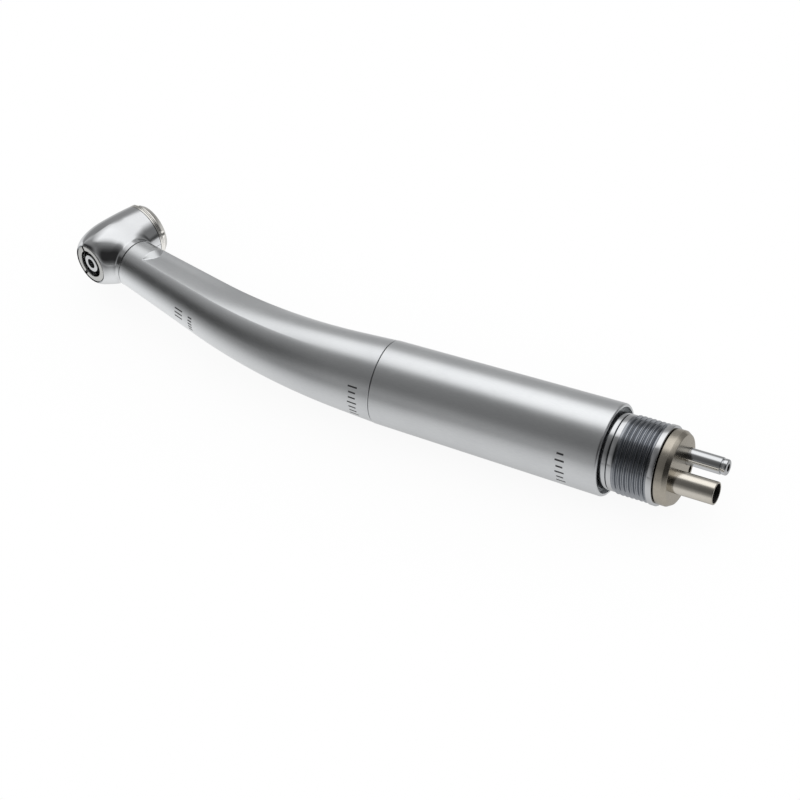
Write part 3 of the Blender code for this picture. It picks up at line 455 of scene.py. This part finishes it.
def barrel_radius(z):
    """The head's outer radius at height z: a slow barrel above its belt and an elliptic dome below it."""
    up = np.clip((z - HEAD_BELT_Z) / (CAP_SEAM_Z - HEAD_BELT_Z), 0.0, 2.0)
    high = HEAD_MAX_R - (HEAD_MAX_R - HEAD_CAP_R) * up ** 2
    span = math.radians(78.0)
    down = np.clip((HEAD_BELT_Z - z) / (HEAD_BELT_Z - NOSE_Z), 0.0, 1.0)
    lift = np.sqrt(1.0 - (down * math.sin(span)) ** 2)
    low = NOSE_R + (HEAD_MAX_R - NOSE_R) * (lift - math.cos(span)) / (1.0 - math.cos(span))
    beyond = np.clip((NOSE_Z - z) / 2.0, 0.0, None)
    return np.where(z > HEAD_BELT_Z, high, low - 3.0 * beyond)


def head_field(p):
    """Signed distance, nearly, to the head's outer skin; p is an array of points in the head's frame."""
    z = p[:, 2]
    barrel = (np.hypot(p[:, 0], p[:, 1]) - barrel_radius(z)) * 0.9
    barrel = np.maximum(barrel, z - 8.5)
    to_stub = np.array(STUB.inverted() @ HEAD)
    local = p @ to_stub[:3, :3].T + to_stub[:3, 3]
    along = local[:, 2]
    stub = np.maximum(np.hypot(local[:, 0], local[:, 1]) - STUB_R, along - 7.5)
    stub = np.maximum(stub, 0.5 - along)
    width = 0.25 + 1.5 * smoothstep((HEAD_SEAM - 0.1 - along) / 2.2)
    blend = np.clip(0.5 + 0.5 * (stub - barrel) / width, 0.0, 1.0)
    return stub * (1 - blend) + barrel * blend - width * blend * (1 - blend)


def head_housing():
    """The head's shell, cut off with small lips at its three openings and bored for the cartridge and tubes."""
    columns, rows = ((384, 240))
    turn = np.arange(columns) * TAU / columns
    rise = (np.arange(1, rows) / rows - 0.5) * math.pi
    turn, rise = np.meshgrid(turn, rise, indexing="xy")
    ways = np.stack([np.cos(rise) * np.cos(turn), np.cos(rise) * np.sin(turn), np.sin(rise)], axis=-1)
    ways = ways.reshape(-1, 3)
    ways = np.vstack([ways, [[0, 0, -1.0], [0, 0, 1.0]]])
    near, far = np.full(len(ways), 1.0), np.full(len(ways), 11.0)
    for _ in range(40):
        middle = (near + far) / 2
        outside = head_field(ways * middle[:, None]) > 0
        far = np.where(outside, middle, far)
        near = np.where(outside, near, middle)
    skin = ways * near[:, None]
    shape = bmesh.new()
    corners = [shape.verts.new(p) for p in skin]
    for i in range(rows - 2):
        for k in range(columns):
            a, b = i * columns + k, i * columns + (k + 1) % columns
            shape.faces.new((corners[a], corners[b], corners[b + columns], corners[a + columns]))
    south, north = corners[-2], corners[-1]
    last = (rows - 2) * columns
    for k in range(columns):
        shape.faces.new((south, corners[(k + 1) % columns], corners[k]))
        shape.faces.new((north, corners[last + k], corners[last + (k + 1) % columns]))
    to_head = HEAD.inverted() @ STUB
    up = Vector((0, 0, 1))
    for point, normal in ((up * CAP_SEAM_Z, up), (up * NOSE_Z, -up),
                          (to_head @ (up * HEAD_SEAM), to_head.to_3x3() @ up)):
        inner = point - normal * SEAM_LIP
        geometry = shape.verts[:] + shape.edges[:] + shape.faces[:]
        bmesh.ops.bisect_plane(shape, geom=geometry, plane_co=inner, plane_no=normal, clear_outer=True, dist=1e-5)
        rim = [e for e in shape.edges if e.is_boundary]
        grown = bmesh.ops.extrude_edge_only(shape, edges=rim)["geom"]
        fresh = [v for v in grown if isinstance(v, bmesh.types.BMVert)]
        middle = sum((v.co for v in fresh), Vector()) / len(fresh)
        for v in fresh:
            out = v.co - middle
            v.co += (normal - out.normalized()) * SEAM_LIP
        loop = [e for e in grown if isinstance(e, bmesh.types.BMEdge) and e.is_boundary]
        bmesh.ops.contextual_create(shape, geom=loop)
    body = finish_mesh(shape, "head_shell", CHROME, HEAD)
    spigot = cutter(revolve_shape([(0, 9.0), (3.05, 9.0, 0.15), (3.05, 4.0), (0, 4.0)]), STUB)
    apply_boolean(body, [spigot], "UNION")
    bore = cutter(revolve_shape([
        (0, 6.4), (4.3, 6.4), (4.3, -1.45), (3.295, -1.45), (3.295, -2.35), (3.85, -2.35), (3.85, -3.15),
        (3.295, -3.15), (3.295, -4.1), (2.6, -4.1), (2.6, -4.35), (3.4, -4.35), (3.4, -4.85), (3.54, -4.85),
        (3.54, -5.5), (0, -5.5)]), HEAD)
    cutters = [bore]
    for up, side, radius, depth in ((0.3, -1.75, 1.17, 2.0), (0.1, 1.7, 0.65, 2.0), (-1.5, 1.2, 0.55, 5.0),
                                    (1.6, 1.1, 0.55, 5.0)):
        cutters.append(cutter(rod(radius, (up, side, depth), (up, side, 9.5), 32), STUB))
    apply_boolean(body, cutters)
    place(body, "casing", "mirror_chrome", "head_housing")


# Neck sleeve

def neck_radius(q):
    """Silhouette radius: a quadratic in the distance from the rear seam."""
    rear, middle, front = NECK_RADII
    share = max(q, 0.0) / (NECK_LENGTH - HEAD_SEAM)
    return rear + (4 * middle - 3 * rear - front) * share + (2 * rear - 4 * middle + 2 * front) * share ** 2


def flat_depth(q, around):
    """Depth of the shallow facet on each side of the neck's back, which runs out in a slope near the head."""
    from_top = abs((around + math.pi) % TAU - math.pi)
    if not FLAT_TOP < from_top < CREASE:
        return 0.0
    if from_top > FLAT_MIDDLE:
        dip = 1 - (1 - (CREASE - from_top) / (CREASE - FLAT_MIDDLE)) ** 2.2
    else:
        dip = 1 - ((FLAT_MIDDLE - from_top) / (FLAT_MIDDLE - FLAT_TOP)) ** 2
    grow = float(smoothstep((q - FLAT_FROM) / (FLAT_FULL - FLAT_FROM)))
    return min(neck_radius(q) * grow * FLAT_SHARE * dip, max(FLAT_END - q, 0.0) * FLAT_SLOPE)


def neck_surface(q, around, lift=0.0):
    """A point of the neck's skin: round, with the facet taken off each side of its back."""
    centre, _, up = neck_point(q)
    reach = neck_radius(q) - flat_depth(q, around) + lift
    return centre + up * (reach * math.cos(around)) + Vector((0, 0, reach * math.sin(around)))


def neck_sleeve():
    """The neck's bent shell, with rows of points close together at its creases, and its spigot in the handle."""
    front = NECK_LENGTH - HEAD_SEAM - 0.1
    upper, lower = ((96, 64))
    tight = [math.radians(degrees) for degrees in CREASE_SPREAD]
    around = [-CREASE + 2 * CREASE * k / upper for k in range(upper)]
    around += [CREASE + (TAU - 2 * CREASE) * k / lower for k in range(lower)]
    for edge in (-CREASE, -FLAT_TOP, FLAT_TOP, CREASE):
        around += [edge] + [edge + side * gap for gap in tight for side in (-1, 1)]
    around = sorted(a % TAU for a in around)
    around = [a for i, a in enumerate(around) if i == 0 or a - around[i - 1] > math.radians(0.1)]
    shoulder = 0.05
    count = 180
    stations = [shoulder + 0.06, shoulder + 0.12] + [0.5 + (front - 1.0) * k / count for k in range(count + 1)]
    stations += [FLAT_END + 0.06 * k for k in range(-32, 3)] + [front - 0.08, front - 0.04]
    stations = sorted(set(round(s, 4) for s in stations))
    shape = bmesh.new()
    rows = []
    for q in reversed(stations):
        rows.append([shape.verts.new(neck_surface(q, a)) for a in around])

    def circle(q, radius):
        centre, _, up = neck_point(max(q, 0.0))
        centre = centre if q >= 0 else Vector((SEAM_X - q, 0, 0))
        return [shape.verts.new(centre + up * (radius * math.cos(a)) + Vector((0, 0, radius * math.sin(a))))
                for a in around]

    rear_r = neck_radius(shoulder)
    for q, radius in ((shoulder, rear_r - 0.06), (shoulder, 6.1), (-2.4, 6.1), (-2.4, 5.65), (-3.2, 5.65),
                      (-3.2, 6.1), (-5.85, 6.1), (-6.0, 5.95), (-6.0, 5.0)):
        rows.append(circle(q, radius))
    for k in range(13):
        q = shoulder + (front - shoulder) * k / 12
        wall = NECK_WALL + max(flat_depth(q, FLAT_MIDDLE) - NECK_SPARE_WALL, 0.0)
        rows.append(circle(q, min(neck_radius(q) - wall, 5.0)))
    rows.append(circle(front, neck_radius(front) - 0.07))
    for row, after in zip(rows, rows[1:] + rows[:1]):
        for k in range(len(around)):
            j = (k + 1) % len(around)
            shape.faces.new((row[k], row[j], after[j], after[k]))
    place(finish_mesh(shape, "neck_shell", SATIN, sharp=40.0), "casing", "satin_steel", "neck_sleeve")


# Handle and back end

def handle_radius(x):
    share = (x - HANDLE_FRONT[0]) / (HANDLE_REAR[0] - HANDLE_FRONT[0])
    return HANDLE_FRONT[1] + (HANDLE_REAR[1] - HANDLE_FRONT[1]) * share


def handle_surface(q, around, lift=0.0):
    """A point of the handle's skin, q mm behind the seam."""
    radius = handle_radius(SEAM_X + q) + lift
    return Vector((SEAM_X + q, radius * math.cos(around), radius * math.sin(around)))


def handle_sleeve():
    rear_x, rear_r = HANDLE_REAR
    front_x, front_r = HANDLE_FRONT
    place(turned("handle_shell", [
        (rear_r, rear_x, 0.42), (front_r, front_x, 0.06), (6.2, front_x, 0.05), (6.2, front_x + 6.5),
        (6.75, front_x + 7.0), (6.75, -13.3), (6.45, -13.3), (6.45, -12.7), (7.1, -12.7), (7.1, rear_x, 0.1)],
        SATIN, AXIS, ring=True, arcs=8), "casing", "satin_steel", "handle_sleeve")


def snap_ring():
    ring = turned("split_ring", [(6.3, -10.25, 0.12), (6.3, -12.6, 0.12), (5.9, -12.6), (5.9, -10.25)],
                  CHROME, AXIS, ring=True)
    gap = bmesh.new()
    bmesh.ops.create_cube(gap, size=1.0)
    gap.transform(Matrix.Translation((-11.125, 6.3, 0)) @ Matrix.Diagonal((*SNAP_SLIT, 1.0)))
    apply_boolean(ring, [cutter(gap)])
    place(ring, "casing", "mirror_chrome", "snap_ring")


def connector_body():
    """The connector with its thread, drawn as rings that fade out at both ends."""
    low, high = THREAD_X
    steps = FINE
    per_pitch = 16
    count = int((high - low) / THREAD_PITCH * per_pitch)
    shape = bmesh.new()
    rows = []

    def circle(x, radius):
        rows.append([shape.verts.new((x, radius * math.cos(TAU * k / steps), radius * math.sin(TAU * k / steps)))
                     for k in range(steps)])

    for x, radius in ((-3.4, 5.3), (-3.4, 6.0), (-3.46, 6.06)):
        circle(x, radius)
    for i in range(count + 1):
        x = high - (high - low) * i / count
        ridge = (0.5 - 0.5 * math.cos(TAU * (x - low) / THREAD_PITCH)) ** 1.3
        ends = float(smoothstep((x - low) / 0.5)) * float(smoothstep((high - x) / 0.35))
        base = SHANK_R + (THREAD_ROOT_R - SHANK_R) * float(smoothstep((x - low) / 0.3))
        circle(x, base + (THREAD_CREST_R - base) * ridge * ends)
    for x, radius in ((-9.2, 6.22), (-9.26, 6.25), (-10.02, 6.25), (-10.1, 6.17), (-10.1, 5.8), (-13.45, 5.8),
                      (-13.45, 6.65), (-16.8, 6.65), (-16.8, 5.3)):
        circle(x, radius)
    for row, after in zip(rows, rows[1:] + rows[:1]):
        for k in range(steps):
            j = (k + 1) % steps
            shape.faces.new((row[k], row[j], after[j], after[k]))
    place(finish_mesh(shape, "threaded_connector", BLACK, sharp=40.0), "casing", "black_chrome",
          "connector_body")


def front_band():
    """The bright land between the split ring and the thread, a thin sleeve on the connector."""
    place(turned("connector_land", [(6.3, -9.25, 0.08), (6.3, -10.12, 0.1), (SHANK_R, -10.12), (SHANK_R, -9.25)],
                 CHROME, AXIS, ring=True), "casing", "mirror_chrome")


def polished_ring():
    place(turned("thread_collar", [(6.6, -2.25, 0.15), (6.6, -3.3, 0.2), (5.3, -3.3), (5.3, -2.25)],
                 CHROME, AXIS, ring=True), "casing", "mirror_chrome", "polished_ring")


def end_plate():
    """The nickel plate, with a hole for each nipple and the exhaust ports."""
    plate = turned("hose_end_plate", [(0, 0), (5.75, 0, 0.12), (6.2, -0.75, 0.15), (6.2, -2.1, 0.1), (5.2, -2.1),
                                      (5.2, -5.0), (0, -5.0)], NICKEL, AXIS)
    holes = [(DRIVE_SEAT, 1.96), (WATER_SEAT, 1.48)] + [(seat, 0.62) for seat in EXHAUST_PORTS]
    apply_boolean(plate, [cutter(rod(radius, (-8, *seat), (1, *seat))) for seat, radius in holes])
    place(plate, "casing", "nickel", "end_plate")


def paint_bore_shade(piece, matrix, radius):
    """Gives the faces inside this radius about Z a near-black painted shade, standing in for the shade deep in a
    drilled bore.
    """
    piece.data.materials.append(PAINTED_RECESS_SHADE)
    back = matrix.inverted()
    for face in piece.data.polygons:
        inside = back @ (face.center / MM)
        if math.hypot(inside.x, inside.y) < radius:
            face.material_index = 1


def nipples():
    """The open drive-air tube and the water tube with its stepped tip."""
    drive = turned("drive_air_tube_end", [
        (1.9, 6.9, 0.12), (1.9, TUBE_END), (DRIVE_BORE_R, TUBE_END), (DRIVE_BORE_R, 6.9, 0.08)],
        POLISHED_NICKEL, DRIVE_LINE, ring=True)
    water = turned("water_tube_end", [
        (1.32, 6.65, 0.25), (1.32, 5.85, 0.1), (1.16, 5.85), (1.16, 5.65), (1.42, 5.65, 0.12), (1.42, TUBE_END),
        (WATER_BORE_R, TUBE_END), (WATER_BORE_R, 6.65, 0.1)], CHROME, WATER_LINE, ring=True)
    # The bores' insides get the near-black painted shade.
    paint_bore_shade(drive, DRIVE_LINE, DRIVE_BORE_R + 0.02)
    paint_bore_shade(water, WATER_LINE, WATER_BORE_R + 0.02)
    place(drive, "casing", "nickel", "drive_air_nipple")
    place(water, "casing", "mirror_chrome", "water_nipple")


# Head's small parts

def nose_ring():
    """The ring round the bur hole, with a groove behind its face and radial notches across it, whose walls get a
    near-black painted shade.
    """
    ring = turned("spray_ring", [
        (3.32, -4.45), (3.32, -4.6), (3.02, -4.6), (3.02, -4.85), (3.32, -4.85), (3.32, NOSE_Z, 0.16),
        (2.4, NOSE_Z, 0.12), (2.4, -4.45)], RING_STEEL, HEAD, ring=True)
    turns = [math.radians(degrees) for degrees in NOSE_NOTCHES]
    aims = [Vector((math.cos(turn), math.sin(turn), 0)) for turn in turns]
    level = Vector((0, 0, NOSE_NOTCH_Z))
    rods = [rod(NOSE_NOTCH_R, aim * 2.2 + level, aim * 3.6 + level, 24) for aim in aims]
    apply_boolean(ring, [cutter(shape, HEAD) for shape in rods])
    # The faces in the notches get the near-black painted shade, for the shade in these recesses.
    ring.data.materials.append(PAINTED_RECESS_SHADE)
    back = HEAD.inverted()
    for face in ring.data.polygons:
        point = back @ (face.center / MM) - level
        across = min((point - aim * max(point.dot(aim), 0.0)).length for aim in aims)
        if point.z > 0.06 and across < NOSE_NOTCH_R + 0.004:
            face.material_index = 1
    place(ring, "casing", "nickel", "nose_ring")


def head_cap():
    """The ring that holds the button and the rear bearing, with two fine grooves and four wrench notches."""
    cap = turned("button_cap", [
        (3.1, 8.0, 0.1), (4.23, 8.0, 0.12), (4.9, 7.05, 0.12), (4.9, 6.86), (4.85, 6.8), (4.9, 6.74), (4.9, 6.62),
        (4.85, 6.56), (4.9, 6.5), (4.9, 6.26, 0.04), (4.2, 6.26), (4.2, 1.95), (3.295, 1.95), (3.295, 2.8),
        (3.85, 2.8), (3.85, 3.6), (3.295, 3.6), (3.295, 4.95), (2.2, 4.95), (2.2, 5.2), (3.45, 5.2),
        (3.45, 7.05), (3.1, 7.05)], CAP_NICKEL, HEAD, ring=True)
    cutters = []
    for k in range(4):
        turn = CAP_NOTCH + TAU * k / 4
        x, y = CAP_NOTCH_REACH * math.cos(turn), CAP_NOTCH_REACH * math.sin(turn)
        cutters.append(cutter(rod(CAP_NOTCH_R, (x, y, 6.9), (x, y, 9.0), 40), HEAD))
    apply_boolean(cap, cutters)
    place(cap, "casing", "nickel", "head_cap")


def push_button():
    """The button: a shallow dome, a skirt flanged under the cap, and a peg above the chuck's plunger."""
    radius, crown, rise = 3.0, 8.45, 0.35
    dome = [(radius * math.sin(turn), crown - rise * (1 - math.cos(turn))) for turn in np.linspace(0.0, 1.4, 12)]
    place(turned("button", dome + [
        (radius, 8.04), (radius, 6.95), (3.3, 6.95, 0.05), (3.3, 6.5, 0.05), (2.95, 6.5), (2.95, 6.9), (1.2, 6.9),
        (0.9, 6.15), (0, 6.15)], CHROME, HEAD), "button", "mirror_chrome", "push_button")


def spindle():
    place(turned("turbine_shaft", [
        (1.5575, 4.7, 0.05), (1.5575, -5.05, 0.1), (0.85, -5.05, 0.05), (0.85, -4.2), (1.12, -4.2), (1.12, 2.5),
        (1.3, 2.5), (1.3, 4.7)], BEARING, HEAD, ring=True, steps=96), "rotor", "bearing_steel", "spindle")


def springs():
    """The three springs, as coils of wire.

    Each has its radius, its ends' heights, its turns and its wire's radius, then the share of its length that it
    keeps when pressed and the height of its fixed end, which are not used.
    """
    for name, cad, radius, low, high, turns, gauge, matrix, body, joint, keep, fixed in (
        ("button_return_coil", "button_spring", 2.5, 5.38, 6.74, 3.0, 0.12,
         HEAD, "casing", "button_press", 0.56, 5.2),
        ("chuck_coil", "chuck_spring", 1.04, 2.62, 3.88, 4.0, 0.08,
         HEAD, "rotor", "chuck_release", 0.66, 2.5),
        ("check_valve_coil", "check_valve_spring", 0.6, -22.42, -21.33, 4.0, 0.08,
         WATER_LINE, "casing", "check_valve_open", 0.68, -22.5),
    ):
        made = place(wire(name, coil(radius, low, high, turns), gauge, SPRING, matrix), body, "spring_steel", cad)
        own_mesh(made)


# Etched marks: plain dashes

def marks(name, surface, boxes):
    """Thin inked dashes, each (q, width along q, around in degrees, width in degrees)."""
    shape = bmesh.new()
    across, along = 6, 4
    above, below = 0.006, -0.02
    for q, q_wide, turn, turn_wide in boxes:
        sheets = []
        for lift in (above, below):
            sheets.append([[shape.verts.new(surface(q + q_wide * (i / along - 0.5),
                                                    math.radians(turn + turn_wide * (k / across - 0.5)), lift))
                            for k in range(across + 1)] for i in range(along + 1)])
        top, under = sheets
        for i in range(along):
            for k in range(across):
                shape.faces.new((top[i][k], top[i][k + 1], top[i + 1][k + 1], top[i + 1][k]))
                shape.faces.new((under[i][k], under[i + 1][k], under[i + 1][k + 1], under[i][k + 1]))
        for i in range(along):
            shape.faces.new((top[i][0], top[i + 1][0], under[i + 1][0], under[i][0]))
            shape.faces.new((top[i][across], under[i][across], under[i + 1][across], top[i + 1][across]))
        for k in range(across):
            shape.faces.new((top[0][k], under[0][k], under[0][k + 1], top[0][k + 1]))
            shape.faces.new((top[along][k], top[along][k + 1], under[along][k + 1], under[along][k]))
    place(finish_mesh(shape, name, ETCH), "casing", "satin_steel")


head_housing()
nose_ring()
head_cap()
push_button()
spindle()
springs()
neck_sleeve()
handle_sleeve()
snap_ring()
connector_body()
front_band()
polished_ring()
end_plate()
nipples()
marks("seam_dashes", neck_surface, [(3.0, 1.3 if k % 3 else 1.7, 155 + 8.5 * k, 2.4) for k in range(7)])
marks("handle_dashes", handle_surface, [(34.0, 1.6 if k % 2 else 1.2, 158 + 9.0 * k, 2.6) for k in range(6)])
marks("neck_dashes", neck_surface, [(38.0, 1.8, 164 + 9 * k, 3.0) for k in range(3)]
      + [(35.2, 0.9, 166 + 7 * k, 3.0) for k in range(5)])

# The other nodes keep their CAD shape and take these finishes.
for entry in frame["record"]["materials"]:
    for name in entry.get("nodes", []):
        kept = frame["nodes"][name]
        kept.data.materials.clear()
        kept.data.materials.append(SLOTS[entry["slot"]])


# Floor, surroundings and camera

def ramp_node(tree, value, stops):
    """A grey ramp with its stops as (position, level)."""
    made = node(tree, "ShaderNodeValToRGB", Fac=value)
    ramp = made.color_ramp
    while len(ramp.elements) > 1:
        ramp.elements.remove(ramp.elements[0])
    ramp.elements[0].position = stops[0][0]
    ramp.elements[0].color = (*(stops[0][1],) * 3, 1.0)
    for position, level in stops[1:]:
        ramp.elements.new(position).color = (*(level,) * 3, 1.0)
    return made.outputs[0]


def floor():
    """A pale light table just under the handle, white to the camera but for a faint contact shadow painted in
    from ambient occlusion, and graded where the metal mirrors it.
    """
    low, high = CAD_BOX
    reach, drop = 3.0, 0.0001
    span, brightest = 0.15, 1.2
    shape = bmesh.new()
    bmesh.ops.create_grid(shape, x_segments=8, y_segments=8, size=reach)
    mesh = bpy.data.meshes.new("floor")
    shape.to_mesh(mesh)
    shape.free()
    made = bpy.data.objects.new("floor", mesh)
    bpy.context.scene.collection.objects.link(made)
    made.location = ((low.x + high.x) / 2, (low.y + high.y) / 2, low.z - drop)
    paint = bpy.data.materials.new("light_table")
    paint.use_nodes = True
    tree = paint.node_tree
    tree.nodes.remove(tree.nodes["Principled BSDF"])
    at = tree.nodes.new("ShaderNodeNewGeometry").outputs["Position"]
    split = node(tree, "ShaderNodeSeparateXYZ", Vector=at)
    beside = math_node(tree, "ADD", split.outputs["Y"], math_node(tree, "MULTIPLY", split.outputs["X"], 0.105))
    aside = map_range(tree, beside, -span, span)

    def fall(*pairs):
        stops = [((metres + span) / (2 * span), level / brightest) for metres, level in pairs]
        return math_node(tree, "MULTIPLY", ramp_node(tree, aside, stops), brightest)

    by_handle = fall((-0.15, 0.40), (-0.105, 0.42), (-0.06, 0.54), (-0.036, 0.62), (-0.022, 0.72), (-0.013, 0.75),
                     (-0.006, 0.72), (0.012, 0.80), (0.044, 0.76), (0.075, 0.62), (0.119, 0.50), (0.15, 0.48))
    by_head = fall((-0.15, 0.26), (-0.056, 0.28), (-0.043, 0.33), (-0.03, 0.47), (-0.022, 0.62), (-0.015, 0.85),
                   (-0.009, 1.08), (0.0, 1.2), (0.014, 1.1), (0.03, 0.8), (0.075, 0.62), (0.15, 0.45))
    blend = map_range(tree, split.outputs["X"], -0.045, -0.09)
    level = node(tree, "ShaderNodeMix", i0=blend, i2=by_handle, i3=by_head).outputs[0]
    level = math_node(tree, "MULTIPLY", level, map_range(tree, split.outputs["X"], 0.003, 0.03, 1.0, 0.5))
    seen = tree.nodes.new("ShaderNodeLightPath").outputs["Is Camera Ray"]
    # Painted contact shadow: ambient occlusion darkens the camera's white by up to 7% near the handpiece.
    near = node(tree, "ShaderNodeAmbientOcclusion", Distance=0.03)
    near.samples = 8
    shade = map_range(tree, near.outputs["AO"], 0.0, 1.0, 0.93, 1.0)
    strength = node(tree, "ShaderNodeMix", i0=seen, i2=level, i3=shade)
    glow = node(tree, "ShaderNodeEmission", Strength=strength.outputs[0])
    tree.links.new(glow.outputs[0], tree.nodes["Material Output"].inputs["Surface"])
    mesh.materials.append(paint)


def surroundings():
    """A soft studio: a long bright box overhead and a dim front, which change from the head's end to the hose's.

    Each ramp runs over the turn about X in degrees, from behind the handpiece, over the top, to its front.
    """
    world = bpy.data.worlds.new("studio")
    bpy.context.scene.world = world
    world.use_nodes = True
    tree = world.node_tree
    glow = tree.nodes["Background"]
    way = tree.nodes.new("ShaderNodeTexCoord").outputs["Generated"]
    split = node(tree, "ShaderNodeSeparateXYZ", Vector=way)
    over = math_node(tree, "ARCTAN2", split.outputs["Z"], split.outputs["Y"])
    turn = map_range(tree, over, 0.0, math.pi)
    top = 1.4

    def stops(*pairs):
        return [(degrees / 180.0, level / top) for degrees, level in pairs]

    left = ramp_node(tree, turn, stops(
        (0, 0.42), (35, 0.30), (45, 0.34), (55, 0.5), (64, 0.58), (72, 0.48), (84, 0.36), (98, 0.32), (110, 0.27),
        (122, 0.17), (133, 0.05), (163, 0.035), (173, 0.07), (180, 0.17)))
    middle = ramp_node(tree, turn, stops(
        (0, 0.50), (10, 0.44), (24, 0.40), (32, 0.48), (38, 0.75), (43, 1.18), (60, 1.4), (82, 1.32), (90, 0.92),
        (97, 0.26), (108, 0.20), (126, 0.23), (150, 0.22), (162, 0.36), (180, 0.48)))
    right = ramp_node(tree, turn, stops(
        (0, 0.30), (22, 0.30), (32, 0.55), (38, 0.95), (43, 1.2), (82, 1.3), (90, 1.0), (98, 0.4), (106, 0.2),
        (117, 0.08), (128, 0.03), (160, 0.03), (172, 0.12), (180, 0.3)))
    out = split.outputs["X"]
    shade = mix_colours(tree, map_range(tree, out, 0.1, -0.36), right, middle)
    shade = mix_colours(tree, map_range(tree, out, -0.42, -0.74), shade, left)
    shade = mix_colours(tree, map_range(tree, out, 0.35, 0.8, 0.0, 0.85, True), shade, (0.03, 0.03, 0.03))
    seen = tree.nodes.new("ShaderNodeLightPath").outputs["Is Camera Ray"]
    shown = mix_colours(tree, seen, shade, (1 / top, 1 / top, 1 / top))
    tree.links.new(shown, glow.inputs["Color"])
    glow.inputs["Strength"].default_value = top


def camera():
    """A long lens from the front left of the hose end, looking down at the handpiece."""
    azimuth, elevation, roll = 0.5075432, 0.7321414, -0.0630038
    back = Vector((math.sin(azimuth) * math.cos(elevation), -math.cos(azimuth) * math.cos(elevation),
                   math.sin(elevation)))
    level = Vector((math.cos(azimuth), math.sin(azimuth), 0.0))
    over = back.cross(level)
    across = level * math.cos(roll) + over * math.sin(roll)
    data = bpy.data.cameras.new("camera")
    data.sensor_width = 36.0
    data.lens = 180.0
    data.clip_start, data.clip_end = 0.01, 20.0
    made = bpy.data.objects.new("camera", data)
    bpy.context.scene.collection.objects.link(made)
    rotation = Matrix((across, back.cross(across), back)).transposed()
    made.matrix_world = Matrix.Translation((0.183864, -0.419293, 0.428059)) @ rotation.to_4x4()
    bpy.context.scene.camera = made


floor()
surroundings()
camera()
bpy.context.scene.view_settings.view_transform = "Standard"
bpy.context.scene.view_settings.look = "None"
